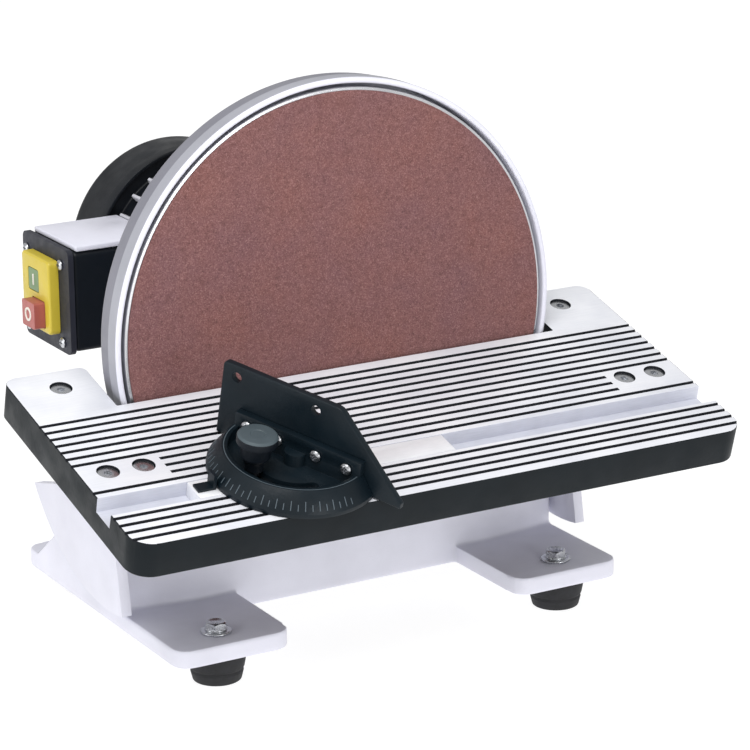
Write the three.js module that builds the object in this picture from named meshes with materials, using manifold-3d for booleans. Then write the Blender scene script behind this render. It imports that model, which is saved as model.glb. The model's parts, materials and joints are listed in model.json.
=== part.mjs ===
// Bench disc sander: a 305 mm abrasive disc driven straight from a motor shaft, with a tilting
// grooved work table, a mitre gauge that slides across it, and a cast stand on four rubber feet.
// Units are millimetres and +Z is up. While it is being built, the origin is the centre of the
// abrasive's front face: +X is to the operator's right, +Y runs back along the motor shaft.

import * as THREE from 'three';
import { mergeVertices } from 'three/addons/utils/BufferGeometryUtils.js';
import Module from 'manifold-3d';

// ---- driving dimensions -------------------------------------------------------------------

const GAP = 0.3;                 // clearance kept between neighbouring solids
const RUNNING = 0.5;             // clearance between a moving piece and what guides it

const DISC_RADIUS = 152.4;       // 12 inch abrasive sheet
const ABRASIVE_THICKNESS = 1.2;
const PLATE_RADIUS = 154.5;
const PLATE_BACK = 9;
const HUB_RADIUS = 26;
const HUB_BACK = 24;
const AXIS_HEIGHT = 200;         // shaft axis above the floor

const GUARD_RADIUS = 161;
const GUARD_BORE = 157;
const GUARD_BACK = 27;
const GUARD_SKIN = 4;
const PORT = { x: 96, z: -78, radius: 25, wall: 2.5, back: 78 };

const SHAFT_RADIUS = 8.5;
const SHAFT_END = 234;
const BEARING_RADIUS = 20;
const BEARING_WIDTH = 12;
const MOTOR_FRONT = GUARD_BACK + GAP;
const MOTOR_REAR = 208;
const MOTOR_SHELL = 66.5;
const MOTOR_BORE = 58;
const SHIELD_STEP = 64;          // the rear shield's rim stands back beyond this radius
const FIN_TIP = 72;
const FIN_COUNT = 28;
const FIN_HALF = 1.3;            // half a fin's thickness
const STATOR_BORE = 36;
const CORE_FRONT = 74;
const CORE_BACK = 154;
const COWL_RADIUS = 78;
const COWL_BACK = 260;
const COWL_SKIN = 2.5;

const BASE_HALF = 165;
const BASE_FRONT = 2;            // of the front wall at its two ends
const APRON_FRONT = -5;          // and of its middle, which covers the foot of the disc
const APRON_HALF = 112;
const APRON_SKIN = 3.5;
const BASE_BACK = 70;
const BASE_TOP = -122;
const BASE_BOTTOM = -181;
const BASE_WALL = 6;
const EAR_THICKNESS = 12;
const EAR_INNER = 84;
const EAR_FRONT = -85;
const EAR_REAR = 150;
const EAR_CORNER = 14;
const FOOT_X = 127.5;
const FOOT_Y_FRONT = -62.5;
const FOOT_Y_REAR = 127.5;

const TABLE_HALF = 220;
const TABLE_DEPTH = 150;         // from the edge at the disc to the front edge
const TABLE_EAR = 50;            // how far the two ears reach back beside the guard
const NOTCH_HALF = 163;
const TABLE_RIM = 24;
const TABLE_SKIN = 9;
const EDGE_LAND = 2.5;           // thickness left at the edge beside the disc
const TABLE_HEIGHT = -29.5;      // table surface at the disc, level with the tilt axis
const TABLE_GAP = 3;             // between the table edge and the abrasive
const TILT = THREE.MathUtils.degToRad(15.5);
const GROOVE_PITCH = 7.9;
const GROOVE_WIDTH = 2.6;
const GROOVE_DEPTH = 1.2;
const FIRST_GROOVE = 9.5;
const GROOVE_COUNT = 15;
const GROOVES_BEHIND_SLOT = 11;
const PAD_GROOVES = [7, 8, 9];
const PAD_INNER = 164.4;
const SLOT_CENTRE = 103.6;
const SLOT_WIDTH = 19.2;
const SLOT_DEPTH = 9.5;
const PAD_BOLTS_X = [177, 201];
const PAD_BOLT_V = 68.5;
const EAR_SCREW_X = 188;
const EAR_SCREW_V = -30;

const TRUNNION_RADIUS = 134.5;
const TRUNNION_THICKNESS = 7;
const GROOVE_IN_SECTOR = 4;      // depth of the left sector's blind guide groove
const TRUNNION_X = 168;
const ARC_RADIUS = 112;          // tilt slot and its clamping stud, from the tilt axis
const STUD_ANGLE = THREE.MathUtils.degToRad(28);
const STUD_RADIUS = 4;

const MITRE_X = -92.1;           // swing pivot along the slot
const MITRE_SWING = THREE.MathUtils.degToRad(30);
const BAR_LEFT = 68;
const BAR_RIGHT = 112;
const HEAD_RADIUS = 54;
const HEAD_RISE = 0.4;
const HEAD_FLOOR = 7;
const HEAD_EDGE = 3;             // height of the scale band's outer edge
const HEAD_RING = 45.5;
const HEAD_RING_TOP = 15;
const KNOB_ARC = 28;
const KNOB_BORE = 3;
const FENCE_FACE = 11;
const FENCE_THICKNESS = 5;
const FENCE_TOP = 52;
const FENCE_REAR = 61;
const FENCE_FRONT = 73;
const FENCE_SCREWS = [[-36, 17], [-14, 17], [14, 17], [36, 17]];
const FENCE_BORES = [[50.5, 44], [-7, 44]];

const BOX_FACE = -126;           // outer rim of the switch box, which opens towards -X
const BOX_INNER = -80;
const BOX_Y = [138.5, 209.5];
const BOX_Z = [-36, 33.5];
const BOX_WALL = 3;
const COVER_THICKNESS = 4;
const GLAND_X = -103;
const GLAND_Z = -4;
const SWITCH_Y = [153, 197];
const SWITCH_Z = [-26, 25];
const BOX_CENTRE = (BOX_Y[0] + BOX_Y[1]) / 2;
const COVER_SCREWS = [[-25, 23.5], [30, 23.5], [-25, -30.5], [30, -30.5]];   // from the box's middle
const SWITCH_FACE = BOX_FACE - COVER_THICKNESS - 8;
const START_BUTTON = { rise: 0.5, y: [170, 186], z: [0.5, 15.5] };
const STOP_BUTTON = { rise: 8.4, y: [161, 181], z: [-22.5, -4.5] };

const ROUND = 24;                // segments on a large round
const MOTOR_SEGMENTS = 28;       // one to a fin
const SMALL_ROUND = 12;          // segments on a bolt or button
const QUARTER = Math.PI / 2;
const TURN = Math.PI * 2;

// ---- solid helpers ------------------------------------------------------------------------

const wasm = await Module();
wasm.setup();

// A three.js geometry as a closed solid: shared corners merged, slivers of no area dropped.
function solid(geometry) {
  const bare = geometry.clone();
  bare.deleteAttribute('normal');
  bare.deleteAttribute('uv');
  const merged = mergeVertices(bare, 1e-3);
  const source = merged.index.array;
  const triangles = [];
  for (let i = 0; i < source.length; i += 3) {
    const [a, b, c] = [source[i], source[i + 1], source[i + 2]];
    if (a !== b && b !== c && c !== a) triangles.push(a, b, c);
  }
  const mesh = new wasm.Mesh({
    numProp: 3,
    vertProperties: new Float32Array(merged.attributes.position.array),
    triVerts: new Uint32Array(triangles),
  });
  return new wasm.Manifold(mesh);
}

function geometryOf(body) {
  const mesh = body.getMesh();
  const geometry = new THREE.BufferGeometry();
  geometry.setAttribute('position', new THREE.BufferAttribute(new Float32Array(mesh.vertProperties), 3));
  geometry.setIndex(new THREE.BufferAttribute(new Uint32Array(mesh.triVerts), 1));
  geometry.computeVertexNormals();
  return geometry;
}

// A block between two opposite corners.
function block(x0, x1, y0, y1, z0, z1) {
  const geometry = new THREE.BoxGeometry(Math.abs(x1 - x0), Math.abs(y1 - y0), Math.abs(z1 - z0));
  geometry.translate((x0 + x1) / 2, (y0 + y1) / 2, (z0 + z1) / 2);
  return solid(geometry);
}

// A body of revolution about Z from [radius, height] points, listed with the solid on their left.
function turned(profile, segments = ROUND) {
  const points = profile.map(([r, z]) => new THREE.Vector2(r, z));
  const geometry = new THREE.LatheGeometry(points, segments);
  geometry.rotateX(QUARTER);
  return solid(geometry);
}

// The same about Y (heights run back along +Y) and about X (heights run along +X).
const turnedY = (profile, segments) => turned(profile, segments).rotate([-90, 0, 0]);
const turnedX = (profile, segments) => turned(profile, segments).rotate([0, 90, 0]);

const rodProfile = (r, a, b) => [[0, a], [r, a], [r, b], [0, b]];
const ringProfile = (inner, outer, a, b) => [[inner, a], [outer, a], [outer, b], [inner, b], [inner, a]];
const rodZ = (r, z0, z1, segments = SMALL_ROUND) => turned(rodProfile(r, z0, z1), segments);
const rodY = (r, y0, y1, segments = SMALL_ROUND) => turnedY(rodProfile(r, y0, y1), segments);
const rodX = (r, x0, x1, segments = SMALL_ROUND) => turnedX(rodProfile(r, x0, x1), segments);
const ringY = (inner, outer, y0, y1, segments = ROUND) => turnedY(
  ringProfile(inner, outer, y0, y1), segments);

// A flat outline in X and Y, raised from z0 to z1.
function raised(shape, z0, z1, curveSegments = 6) {
  const geometry = new THREE.ExtrudeGeometry(shape, { depth: z1 - z0, bevelEnabled: false, curveSegments });
  geometry.translate(0, 0, z0);
  return solid(geometry);
}

function outline(points) {
  return new THREE.Shape(points.map(([x, y]) => new THREE.Vector2(x, y)));
}

// A polygon whose listed corners are rounded: each point is [x, y, corner radius].
function roundedOutline(points) {
  const shape = new THREE.Shape();
  const count = points.length;
  points.forEach(([x, y, radius = 0], i) => {
    const corner = new THREE.Vector2(x, y);
    const before = new THREE.Vector2(...points[(i + count - 1) % count].slice(0, 2));
    const after = new THREE.Vector2(...points[(i + 1) % count].slice(0, 2));
    const start = corner.clone().add(before.sub(corner).setLength(radius));
    const end = corner.clone().add(after.sub(corner).setLength(radius));
    if (i === 0) shape.moveTo(start.x, start.y);
    else shape.lineTo(start.x, start.y);
    if (radius > 0) shape.quadraticCurveTo(corner.x, corner.y, end.x, end.y);
  });
  shape.closePath();
  return shape;
}

// A band bent round the origin, between two angles, with round ends.
function arcSlot(radius, halfWidth, from, to, z0, z1) {
  const shape = new THREE.Shape();
  const roundEnd = (angle, start) => shape.absarc(radius * Math.cos(angle), radius * Math.sin(angle),
    halfWidth, start, start + Math.PI, false);
  shape.absarc(0, 0, radius + halfWidth, from, to, false);
  roundEnd(to, to);
  shape.absarc(0, 0, radius - halfWidth, to, from, true);
  roundEnd(from, from + Math.PI);
  return raised(shape, z0, z1, 8);
}

const joined = (...bodies) => bodies.reduce((whole, body) => whole.add(body));
const cut = (body, ...tools) => tools.reduce((rest, tool) => rest.subtract(tool), body);

// ---- finishes -----------------------------------------------------------------------------

const FINISHES = {
  abrasive: [0x76504f, 0.95, 0],
  castPaint: [0xc9c8d2, 0.55, 0.05],
  motorPaint: [0x9d9ca5, 0.5, 0.1],
  aluminium: [0xd8dade, 0.35, 0.9],
  blackPaint: [0x20262d, 0.5, 0.1],
  blackPlastic: [0x1b2024, 0.5, 0],
  greyPlastic: [0x3a3a41, 0.55, 0],
  yellowPlastic: [0xd9c83e, 0.45, 0],
  greenPlastic: [0x3f8f5a, 0.4, 0],
  redPlastic: [0xc0392b, 0.4, 0],
  rubber: [0x17181c, 0.85, 0],
  steel: [0xb9bcc2, 0.3, 1],
  zinc: [0xcfd2d6, 0.35, 1],
  darkSteel: [0x5c6066, 0.4, 0.9],
};

function piece(name, body, finish) {
  const [color, roughness, metalness] = FINISHES[finish];
  const material = new THREE.MeshStandardMaterial({ color, roughness, metalness });
  const mesh = new THREE.Mesh(geometryOf(body), material);
  mesh.name = name;
  return mesh;
}

// ---- stand --------------------------------------------------------------------------------

function baseEar(side, yInner, yOuter) {
  const [xIn, xOut] = [side * EAR_INNER, side * BASE_HALF];
  const shape = roundedOutline([
    [xIn, yInner], [xIn, yOuter, EAR_CORNER], [xOut, yOuter, EAR_CORNER], [xOut, yInner],
  ]);
  return raised(shape, BASE_BOTTOM, BASE_BOTTOM + EAR_THICKNESS);
}

// Triangular web that carries a side wall down onto the rear ear.
function baseGusset(side) {
  const shape = outline([[BASE_BACK - 2, BASE_TOP], [BASE_BACK + 60, BASE_BOTTOM + EAR_THICKNESS],
    [BASE_BACK + 60, BASE_BOTTOM + 2], [BASE_BACK - 2, BASE_BOTTOM + 2]]);
  const web = raised(shape, 0, BASE_WALL).rotate([90, 0, 90]);
  return web.translate([side > 0 ? BASE_HALF - BASE_WALL : -BASE_HALF, 0, 0]);
}

function studPlace() {
  const y = -TABLE_GAP + ARC_RADIUS * Math.sin(STUD_ANGLE);
  const z = TABLE_HEIGHT - ARC_RADIUS * Math.cos(STUD_ANGLE);
  return [y, z];
}

// Upstand and round boss on a side wall that take the stud of the tilt slot.
function studBoss(side) {
  const [y, z] = studPlace();
  const inner = BASE_HALF - BASE_WALL;
  const upstand = block(side * inner, side * BASE_HALF, y - 15, y + 15, BASE_TOP - 3, z + 13);
  const reach = [side * inner, side * (TRUNNION_X - GAP)].sort((a, b) => a - b);
  return joined(upstand, rodX(12, reach[0], reach[1], 20).translate([0, y, z]));
}

function studHole(side) {
  const [y, z] = studPlace();
  const reach = [side * (BASE_HALF - 20), side * (BASE_HALF + 20)].sort((a, b) => a - b);
  return rodX(STUD_RADIUS + GAP, reach[0], reach[1]).translate([0, y, z]);
}

function footPlaces() {
  const places = [];
  for (const [row, y] of [['front', FOOT_Y_FRONT], ['rear', FOOT_Y_REAR]]) {
    for (const [hand, x] of [['left', -FOOT_X], ['right', FOOT_X]]) places.push([`${row}_${hand}`, x, y]);
  }
  return places;
}

function baseFrame() {
  const plan = outline([
    [-BASE_HALF, BASE_FRONT], [-APRON_HALF, APRON_FRONT], [APRON_HALF, APRON_FRONT],
    [BASE_HALF, BASE_FRONT], [BASE_HALF, BASE_BACK], [-BASE_HALF, BASE_BACK],
  ]);
  const shell = raised(plan, BASE_BOTTOM, BASE_TOP);
  const inside = BASE_HALF - BASE_WALL;
  const roof = BASE_TOP - BASE_WALL;
  const bulkhead = GUARD_BACK + 3;
  const frontBay = block(-inside, inside, BASE_FRONT + BASE_WALL, bulkhead, BASE_BOTTOM - 1, roof);
  const rearBay = block(-inside, inside, bulkhead + BASE_WALL, BASE_BACK - BASE_WALL, BASE_BOTTOM - 1, roof);
  const saddle = rodY(GUARD_RADIUS + 1.5, APRON_FRONT + APRON_SKIN, GUARD_BACK + 1, 56);
  const ears = [];
  for (const side of [-1, 1]) {
    ears.push(baseEar(side, BASE_FRONT + 3, EAR_FRONT), baseEar(side, BASE_BACK - 3, EAR_REAR));
    ears.push(baseGusset(side), studBoss(side));
  }
  const holes = footPlaces().map(([, x, y]) => rodZ(4.5, BASE_BOTTOM - 1, BASE_TOP).translate([x, y, 0]));
  return cut(joined(cut(shell, frontBay, rearBay, saddle), ...ears), ...holes, studHole(-1), studHole(1));
}

function foot() {
  const top = BASE_BOTTOM - GAP;
  const well = top - 12;
  return turned([
    [0, -AXIS_HEIGHT], [15.5, -AXIS_HEIGHT], [19.5, top], [4.6, top], [4.6, well], [0, well],
  ], 20);
}

// Hexagon bolt with its washer, from above the ear down into the rubber foot.
function footBolt() {
  const seat = BASE_BOTTOM + EAR_THICKNESS + GAP;
  const washer = rodZ(10, seat, seat + 1.8, 20);
  const head = rodZ(7.2, seat + 1.7, seat + 7, 6);
  return joined(washer, head, rodZ(4, BASE_BOTTOM - 11, seat + 1));
}

// ---- disc housing -------------------------------------------------------------------------

function discGuard() {
  const drum = turnedY([
    [62, GUARD_BACK - GUARD_SKIN], [GUARD_BORE, GUARD_BACK - GUARD_SKIN], [GUARD_BORE, 0],
    [GUARD_RADIUS, 0], [GUARD_RADIUS, 12], [GUARD_RADIUS - 1, 13], [GUARD_RADIUS - 1, GUARD_BACK],
    [62, GUARD_BACK], [62, GUARD_BACK - GUARD_SKIN],
  ], 64);
  const portHole = rodY(PORT.radius - PORT.wall, 0, GUARD_BACK + 5, 16).translate([PORT.x, 0, PORT.z]);
  return cut(drum, portHole);
}

// Round spigot for a 50 mm extraction hose, with a flange against the back of the housing.
function dustPort() {
  const [inner, outer] = [PORT.radius - PORT.wall, PORT.radius];
  const front = GUARD_BACK + GAP;
  const profile = [[inner, front], [outer + 6, front], [outer + 6, front + 3], [outer, front + 3],
    [outer, PORT.back], [inner, PORT.back], [inner, front]];
  return turnedY(profile, 20).translate([PORT.x, 0, PORT.z]);
}

// ---- motor --------------------------------------------------------------------------------

function frontShield() {
  const seat = MOTOR_FRONT + 12;
  const spigot = MOTOR_BORE - GAP;
  const [flangeRadius, flangeBack] = [70, MOTOR_FRONT + 8];
  const wellBack = MOTOR_FRONT + 6;
  return turnedY([
    [HUB_RADIUS + 3, MOTOR_FRONT], [flangeRadius, MOTOR_FRONT], [flangeRadius, flangeBack],
    [spigot, flangeBack], [spigot, seat + BEARING_WIDTH], [BEARING_RADIUS + GAP, seat + BEARING_WIDTH],
    [BEARING_RADIUS + GAP, seat], [SHAFT_RADIUS + 2, seat], [SHAFT_RADIUS + 2, wellBack],
    [HUB_RADIUS + 3, wellBack], [HUB_RADIUS + 3, MOTOR_FRONT],
  ], MOTOR_SEGMENTS);
}

function motorHousing() {
  const front = MOTOR_FRONT + 8 + GAP;
  let shell = ringY(MOTOR_BORE, MOTOR_SHELL, front, MOTOR_REAR, MOTOR_SEGMENTS);
  for (let i = 0; i < FIN_COUNT; i += 1) {
    const fin = block(-FIN_HALF, FIN_HALF, front + 4, MOTOR_REAR - 6, MOTOR_SHELL - 0.6, FIN_TIP);
    shell = shell.add(fin.rotate([0, (360 * (i + 0.5)) / FIN_COUNT, 0]));
  }
  return shell;
}

function rearShield() {
  const front = MOTOR_REAR + GAP;
  const rim = COWL_RADIUS - COWL_SKIN - GAP;
  return turnedY([
    [BEARING_RADIUS + GAP, front - BEARING_WIDTH + 4], [MOTOR_BORE - GAP, front - BEARING_WIDTH + 4],
    [MOTOR_BORE - GAP, front], [SHIELD_STEP, front], [SHIELD_STEP, front + 4], [rim, front + 4],
    [rim, front + 7], [SHAFT_RADIUS + 2, front + 7],
    [SHAFT_RADIUS + 2, front + 4], [BEARING_RADIUS + GAP, front + 4],
    [BEARING_RADIUS + GAP, front - BEARING_WIDTH + 4],
  ], MOTOR_SEGMENTS);
}

const frontBearing = () => ringY(SHAFT_RADIUS + GAP, BEARING_RADIUS, MOTOR_FRONT + 12 + GAP,
  MOTOR_FRONT + 12 + BEARING_WIDTH - GAP, 16);
const rearBearing = () => ringY(SHAFT_RADIUS + GAP, BEARING_RADIUS, MOTOR_REAR - BEARING_WIDTH + 5,
  MOTOR_REAR + 4, 16);

// Laminated ring with the bulging end turns of its winding.
function statorCore() {
  const outer = MOTOR_BORE - GAP;
  return turnedY([
    [STATOR_BORE, CORE_FRONT], [STATOR_BORE + 4, CORE_FRONT - 18], [outer - 6, CORE_FRONT - 18],
    [outer - 6, CORE_FRONT], [outer, CORE_FRONT], [outer, CORE_BACK], [outer - 6, CORE_BACK],
    [outer - 6, CORE_BACK + 18], [STATOR_BORE + 4, CORE_BACK + 18], [STATOR_BORE, CORE_BACK],
    [STATOR_BORE, CORE_FRONT],
  ], MOTOR_SEGMENTS);
}

// Deep-drawn cover over the fan, with air slots round its back.
function fanCowl() {
  const front = MOTOR_REAR + GAP;
  const inner = COWL_RADIUS - COWL_SKIN;
  const cup = turnedY([
    [0, COWL_BACK - COWL_SKIN], [inner - 10, COWL_BACK - COWL_SKIN], [inner - 3, COWL_BACK - 6],
    [inner, COWL_BACK - 13], [inner, front], [COWL_RADIUS, front], [COWL_RADIUS, COWL_BACK - 12],
    [COWL_RADIUS - 4, COWL_BACK - 4], [COWL_RADIUS - 11, COWL_BACK], [0, COWL_BACK],
  ], 36);
  const slots = [];
  for (let i = 0; i < 12; i += 1) {
    const slot = block(-4, 4, COWL_BACK - 5, COWL_BACK + 1, 24, 60);
    slots.push(slot.rotate([0, 30 * i, 0]));
  }
  return cut(cup, ...slots);
}

// Cradle that stands on the base and holds the motor from below.
function motorFoot() {
  const [front, back] = [BASE_BACK - 34, BASE_BACK - 6];
  const sole = block(-62, 62, front, back, BASE_TOP + GAP, BASE_TOP + 9);
  const [low, high] = [BASE_TOP + 8, -50];
  const pillar = raised(outline([[-52, low], [52, low], [44, high], [-44, high]]), 0, back - front - 8);
  const web = pillar.rotate([90, 0, 0]).translate([0, back - 4, 0]);
  return cut(joined(sole, web), rodY(FIN_TIP + GAP, front - 5, back + 5, 40));
}

// ---- what turns with the shaft ------------------------------------------------------------

const abrasiveDisc = () => rodY(DISC_RADIUS, 0, ABRASIVE_THICKNESS, 72);

function discPlate() {
  const front = ABRASIVE_THICKNESS + GAP;
  const bore = SHAFT_RADIUS + GAP;
  return turnedY([
    [0, front], [PLATE_RADIUS, front], [PLATE_RADIUS, PLATE_BACK], [HUB_RADIUS + 4, PLATE_BACK],
    [HUB_RADIUS, PLATE_BACK + 3], [HUB_RADIUS, HUB_BACK], [bore, HUB_BACK], [bore, front + 4], [0, front + 4],
  ], 64);
}

const motorShaft = () => rodY(SHAFT_RADIUS, ABRASIVE_THICKNESS + 5 + GAP, SHAFT_END, 16);
const rotorCore = () => ringY(SHAFT_RADIUS + GAP, STATOR_BORE - RUNNING, CORE_FRONT, CORE_BACK, 20);

function coolingFan() {
  const back = SHAFT_END - 2;
  let fan = ringY(SHAFT_RADIUS + GAP, 18, back - 16, back, 16);
  fan = fan.add(ringY(17, 60, back - 16, back - 13.5, 20));
  for (let i = 0; i < 6; i += 1) {
    const blade = block(-1.2, 1.2, back - 14, back, 17.4, 60).rotate([0, 60 * i, 0]);
    fan = fan.add(blade);
  }
  return fan;
}

// ---- switch -------------------------------------------------------------------------------

function switchBox() {
  const outer = block(BOX_FACE, BOX_INNER, BOX_Y[0], BOX_Y[1], BOX_Z[0], BOX_Z[1]);
  const hollow = block(BOX_FACE - 1, BOX_INNER - BOX_WALL, BOX_Y[0] + BOX_WALL, BOX_Y[1] - BOX_WALL,
    BOX_Z[0] + BOX_WALL, BOX_Z[1] - BOX_WALL);
  let body = cut(outer, hollow);
  for (const [dy, dz] of COVER_SCREWS) {
    const post = block(BOX_FACE, BOX_INNER - 1, BOX_CENTRE + dy - 5, BOX_CENTRE + dy + 5, dz - 5, dz + 5);
    const bore = rodX(2.3, BOX_FACE - 1, BOX_FACE + 14, 8).translate([0, BOX_CENTRE + dy, dz]);
    body = cut(body.add(post), bore);
  }
  return cut(body, rodY(7, BOX_Y[1] - BOX_WALL - 1, BOX_Y[1] + 2).translate([GLAND_X, 0, GLAND_Z]));
}

function switchCover() {
  const front = BOX_FACE - COVER_THICKNESS - GAP;
  const shape = roundedOutline([
    [BOX_Y[0] - 1.5, BOX_Z[0] - 1.5, 4], [BOX_Y[1] + 1.5, BOX_Z[0] - 1.5, 4],
    [BOX_Y[1] + 1.5, BOX_Z[1] + 1.5, 4], [BOX_Y[0] - 1.5, BOX_Z[1] + 1.5, 4],
  ]);
  const plate = raised(shape, front, BOX_FACE - GAP).rotate([90, 0, 90]);
  const window = block(front - 1, BOX_FACE + 1, SWITCH_Y[0] + 3, SWITCH_Y[1] - 3,
    SWITCH_Z[0] + 3, SWITCH_Z[1] - 3);
  const bores = COVER_SCREWS.map(([dy, dz]) => rodX(2.3, front - 1, BOX_FACE + 1, 8)
    .translate([0, BOX_CENTRE + dy, dz]));
  return cut(plate, window, ...bores);
}

function coverScrew(dy, dz) {
  const seat = BOX_FACE - COVER_THICKNESS - 2 * GAP;
  return joined(rodX(3.6, seat - 2, seat, 10), rodX(1.9, seat - 1, BOX_FACE + 12, 8))
    .translate([0, BOX_CENTRE + dy, dz]);
}

// Moulded yellow switch body: a flange on the cover with two square wells for the buttons.
function switchPlate() {
  const seat = BOX_FACE - COVER_THICKNESS - 2 * GAP;
  const shape = roundedOutline([
    [SWITCH_Y[0], SWITCH_Z[0], 3], [SWITCH_Y[1], SWITCH_Z[0], 3],
    [SWITCH_Y[1], SWITCH_Z[1], 3], [SWITCH_Y[0], SWITCH_Z[1], 3],
  ]);
  const flange = raised(shape, SWITCH_FACE, seat).rotate([90, 0, 90]);
  const back = block(SWITCH_FACE + 1, BOX_FACE + 20, SWITCH_Y[0] + 3.5, SWITCH_Y[1] - 3.5,
    SWITCH_Z[0] + 3.5, SWITCH_Z[1] - 3.5);
  const wells = [START_BUTTON, STOP_BUTTON].map(({ y, z }) => block(SWITCH_FACE - 1, BOX_FACE + 12,
    y[0] - RUNNING, y[1] + RUNNING, z[0] - RUNNING, z[1] + RUNNING));
  return cut(joined(flange, back), ...wells);
}

// A push button, which stands out from the face of the switch by its rise.
const button = ({ rise, y, z }) => block(SWITCH_FACE - rise, BOX_FACE + 6, ...y, ...z);

// Folded sheet bracket: a shelf over the box and a leg between the box and the motor.
function switchBracket() {
  const shelf = block(BOX_FACE + 2, -60, BOX_Y[0] - 1, BOX_Y[1] - 4, BOX_Z[1] + GAP, BOX_Z[1] + 4);
  const leg = block(BOX_INNER + GAP, BOX_INNER + 3.3, BOX_Y[0] + 10, MOTOR_REAR - 6,
    BOX_Z[0] + 8, BOX_Z[1] + 2);
  return cut(joined(shelf, leg), rodY(FIN_TIP + GAP, BOX_Y[0] - 5, MOTOR_REAR, 40));
}

// Round cable inlet with its clamping nut, on the back of the box.
function cableGland() {
  const back = BOX_Y[1] + GAP;
  const nut = rodY(11, back, back + 8, 6);
  const tail = rodY(8.5, back + 7.5, back + 16, 16);
  const thread = rodY(6.5, BOX_Y[1] - BOX_WALL - 2, back + 1, 16);
  const bore = rodY(3.8, BOX_Y[1] - 10, back + 20, 12);
  return cut(joined(nut, tail, thread), bore).translate([GLAND_X, 0, GLAND_Z]);
}

const runCapacitor = () => rodY(9, BOX_Y[0] + 12, BOX_Y[1] - 12, 16).translate([BOX_INNER - 14, 0, 1]);

// ---- work table (its own frame: origin on the tilt axis, +Z out of the surface) -----------

function tableOutline(inset, notchInset) {
  const half = TABLE_HALF - inset;
  const notch = NOTCH_HALF + notchInset;
  const [front, rear] = [-TABLE_DEPTH + inset, TABLE_EAR - inset];
  const [frontCorner, rearCorner, notchCorner] = [16 - inset, 9 - inset, 5 - notchInset];
  return roundedOutline([
    [-half, front, frontCorner], [half, front, frontCorner],
    [half, rear, rearCorner], [notch, rear, notchCorner], [notch, -notchInset, 1],
    [-notch, -notchInset, 1], [-notch, rear, notchCorner], [-half, rear, rearCorner],
  ]);
}

// Grooves behind and before the mitre slot. Those that meet the screw pads stop short of them.
function grooveTools() {
  const tools = [];
  for (let i = 0; i < GROOVE_COUNT; i += 1) {
    const beyondSlot = i - GROOVES_BEHIND_SLOT;
    const v = beyondSlot < 0 ? FIRST_GROOVE + i * GROOVE_PITCH
      : SLOT_CENTRE + SLOT_WIDTH / 2 + 4.5 + beyondSlot * GROOVE_PITCH;
    const reach = PAD_GROOVES.includes(i) ? PAD_INNER : TABLE_HALF + 1;
    tools.push(block(-reach, reach, -v - GROOVE_WIDTH / 2, -v + GROOVE_WIDTH / 2, -GROOVE_DEPTH, 1));
  }
  return tools;
}

function tableScrewPlaces(side) {
  const places = PAD_BOLTS_X.map((x) => [side * x, -PAD_BOLT_V]);
  places.push([side * EAR_SCREW_X, -EAR_SCREW_V]);
  return places;
}

// Countersunk pocket and clearance hole for one table screw.
function screwPocket(x, y) {
  const profile = [[0, -TABLE_SKIN - 1], [3.4, -TABLE_SKIN - 1], [3.4, -5.2], [7.2, -1.4], [7.2, 1], [0, 1]];
  return turned(profile, 12).translate([x, y, 0]);
}

// Wedge taken from under the edge at the disc, so that the table clears the disc at full tilt.
function edgeBevel() {
  const start = -EDGE_LAND;
  const deep = TABLE_RIM + 1;
  const shape = outline([[0.5, start], [0.5, -deep], [EDGE_LAND - deep, -deep], [0, start]]);
  return raised(shape, -NOTCH_HALF, NOTCH_HALF).rotate([90, 0, 90]);
}

function tableTop() {
  const body = cut(raised(tableOutline(0, 0), -TABLE_RIM, 0), edgeBevel());
  const pocket = raised(tableOutline(6, 4), -TABLE_RIM - 1, -TABLE_SKIN);
  const ribReach = TABLE_HALF - 4;
  const rib = block(-ribReach, ribReach, -SLOT_CENTRE - 17, -SLOT_CENTRE + 17, -16, -TABLE_SKIN + 1);
  const slot = block(-TABLE_HALF - 1, TABLE_HALF + 1, -SLOT_CENTRE - SLOT_WIDTH / 2,
    -SLOT_CENTRE + SLOT_WIDTH / 2, -SLOT_DEPTH, 1);
  const pockets = [-1, 1].flatMap(tableScrewPlaces).map(([x, y]) => screwPocket(x, y));
  return cut(joined(cut(body, pocket), rib), slot, ...grooveTools(), ...pockets);
}

// Countersunk screw with a socket in its head.
function tableScrew() {
  return turned([
    [0, -21], [3, -21], [3, -5.2], [6.6, -1.6], [6.6, -1.2], [2.6, -1.2], [2.6, -3.4], [0, -3.4],
  ], 12);
}

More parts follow.
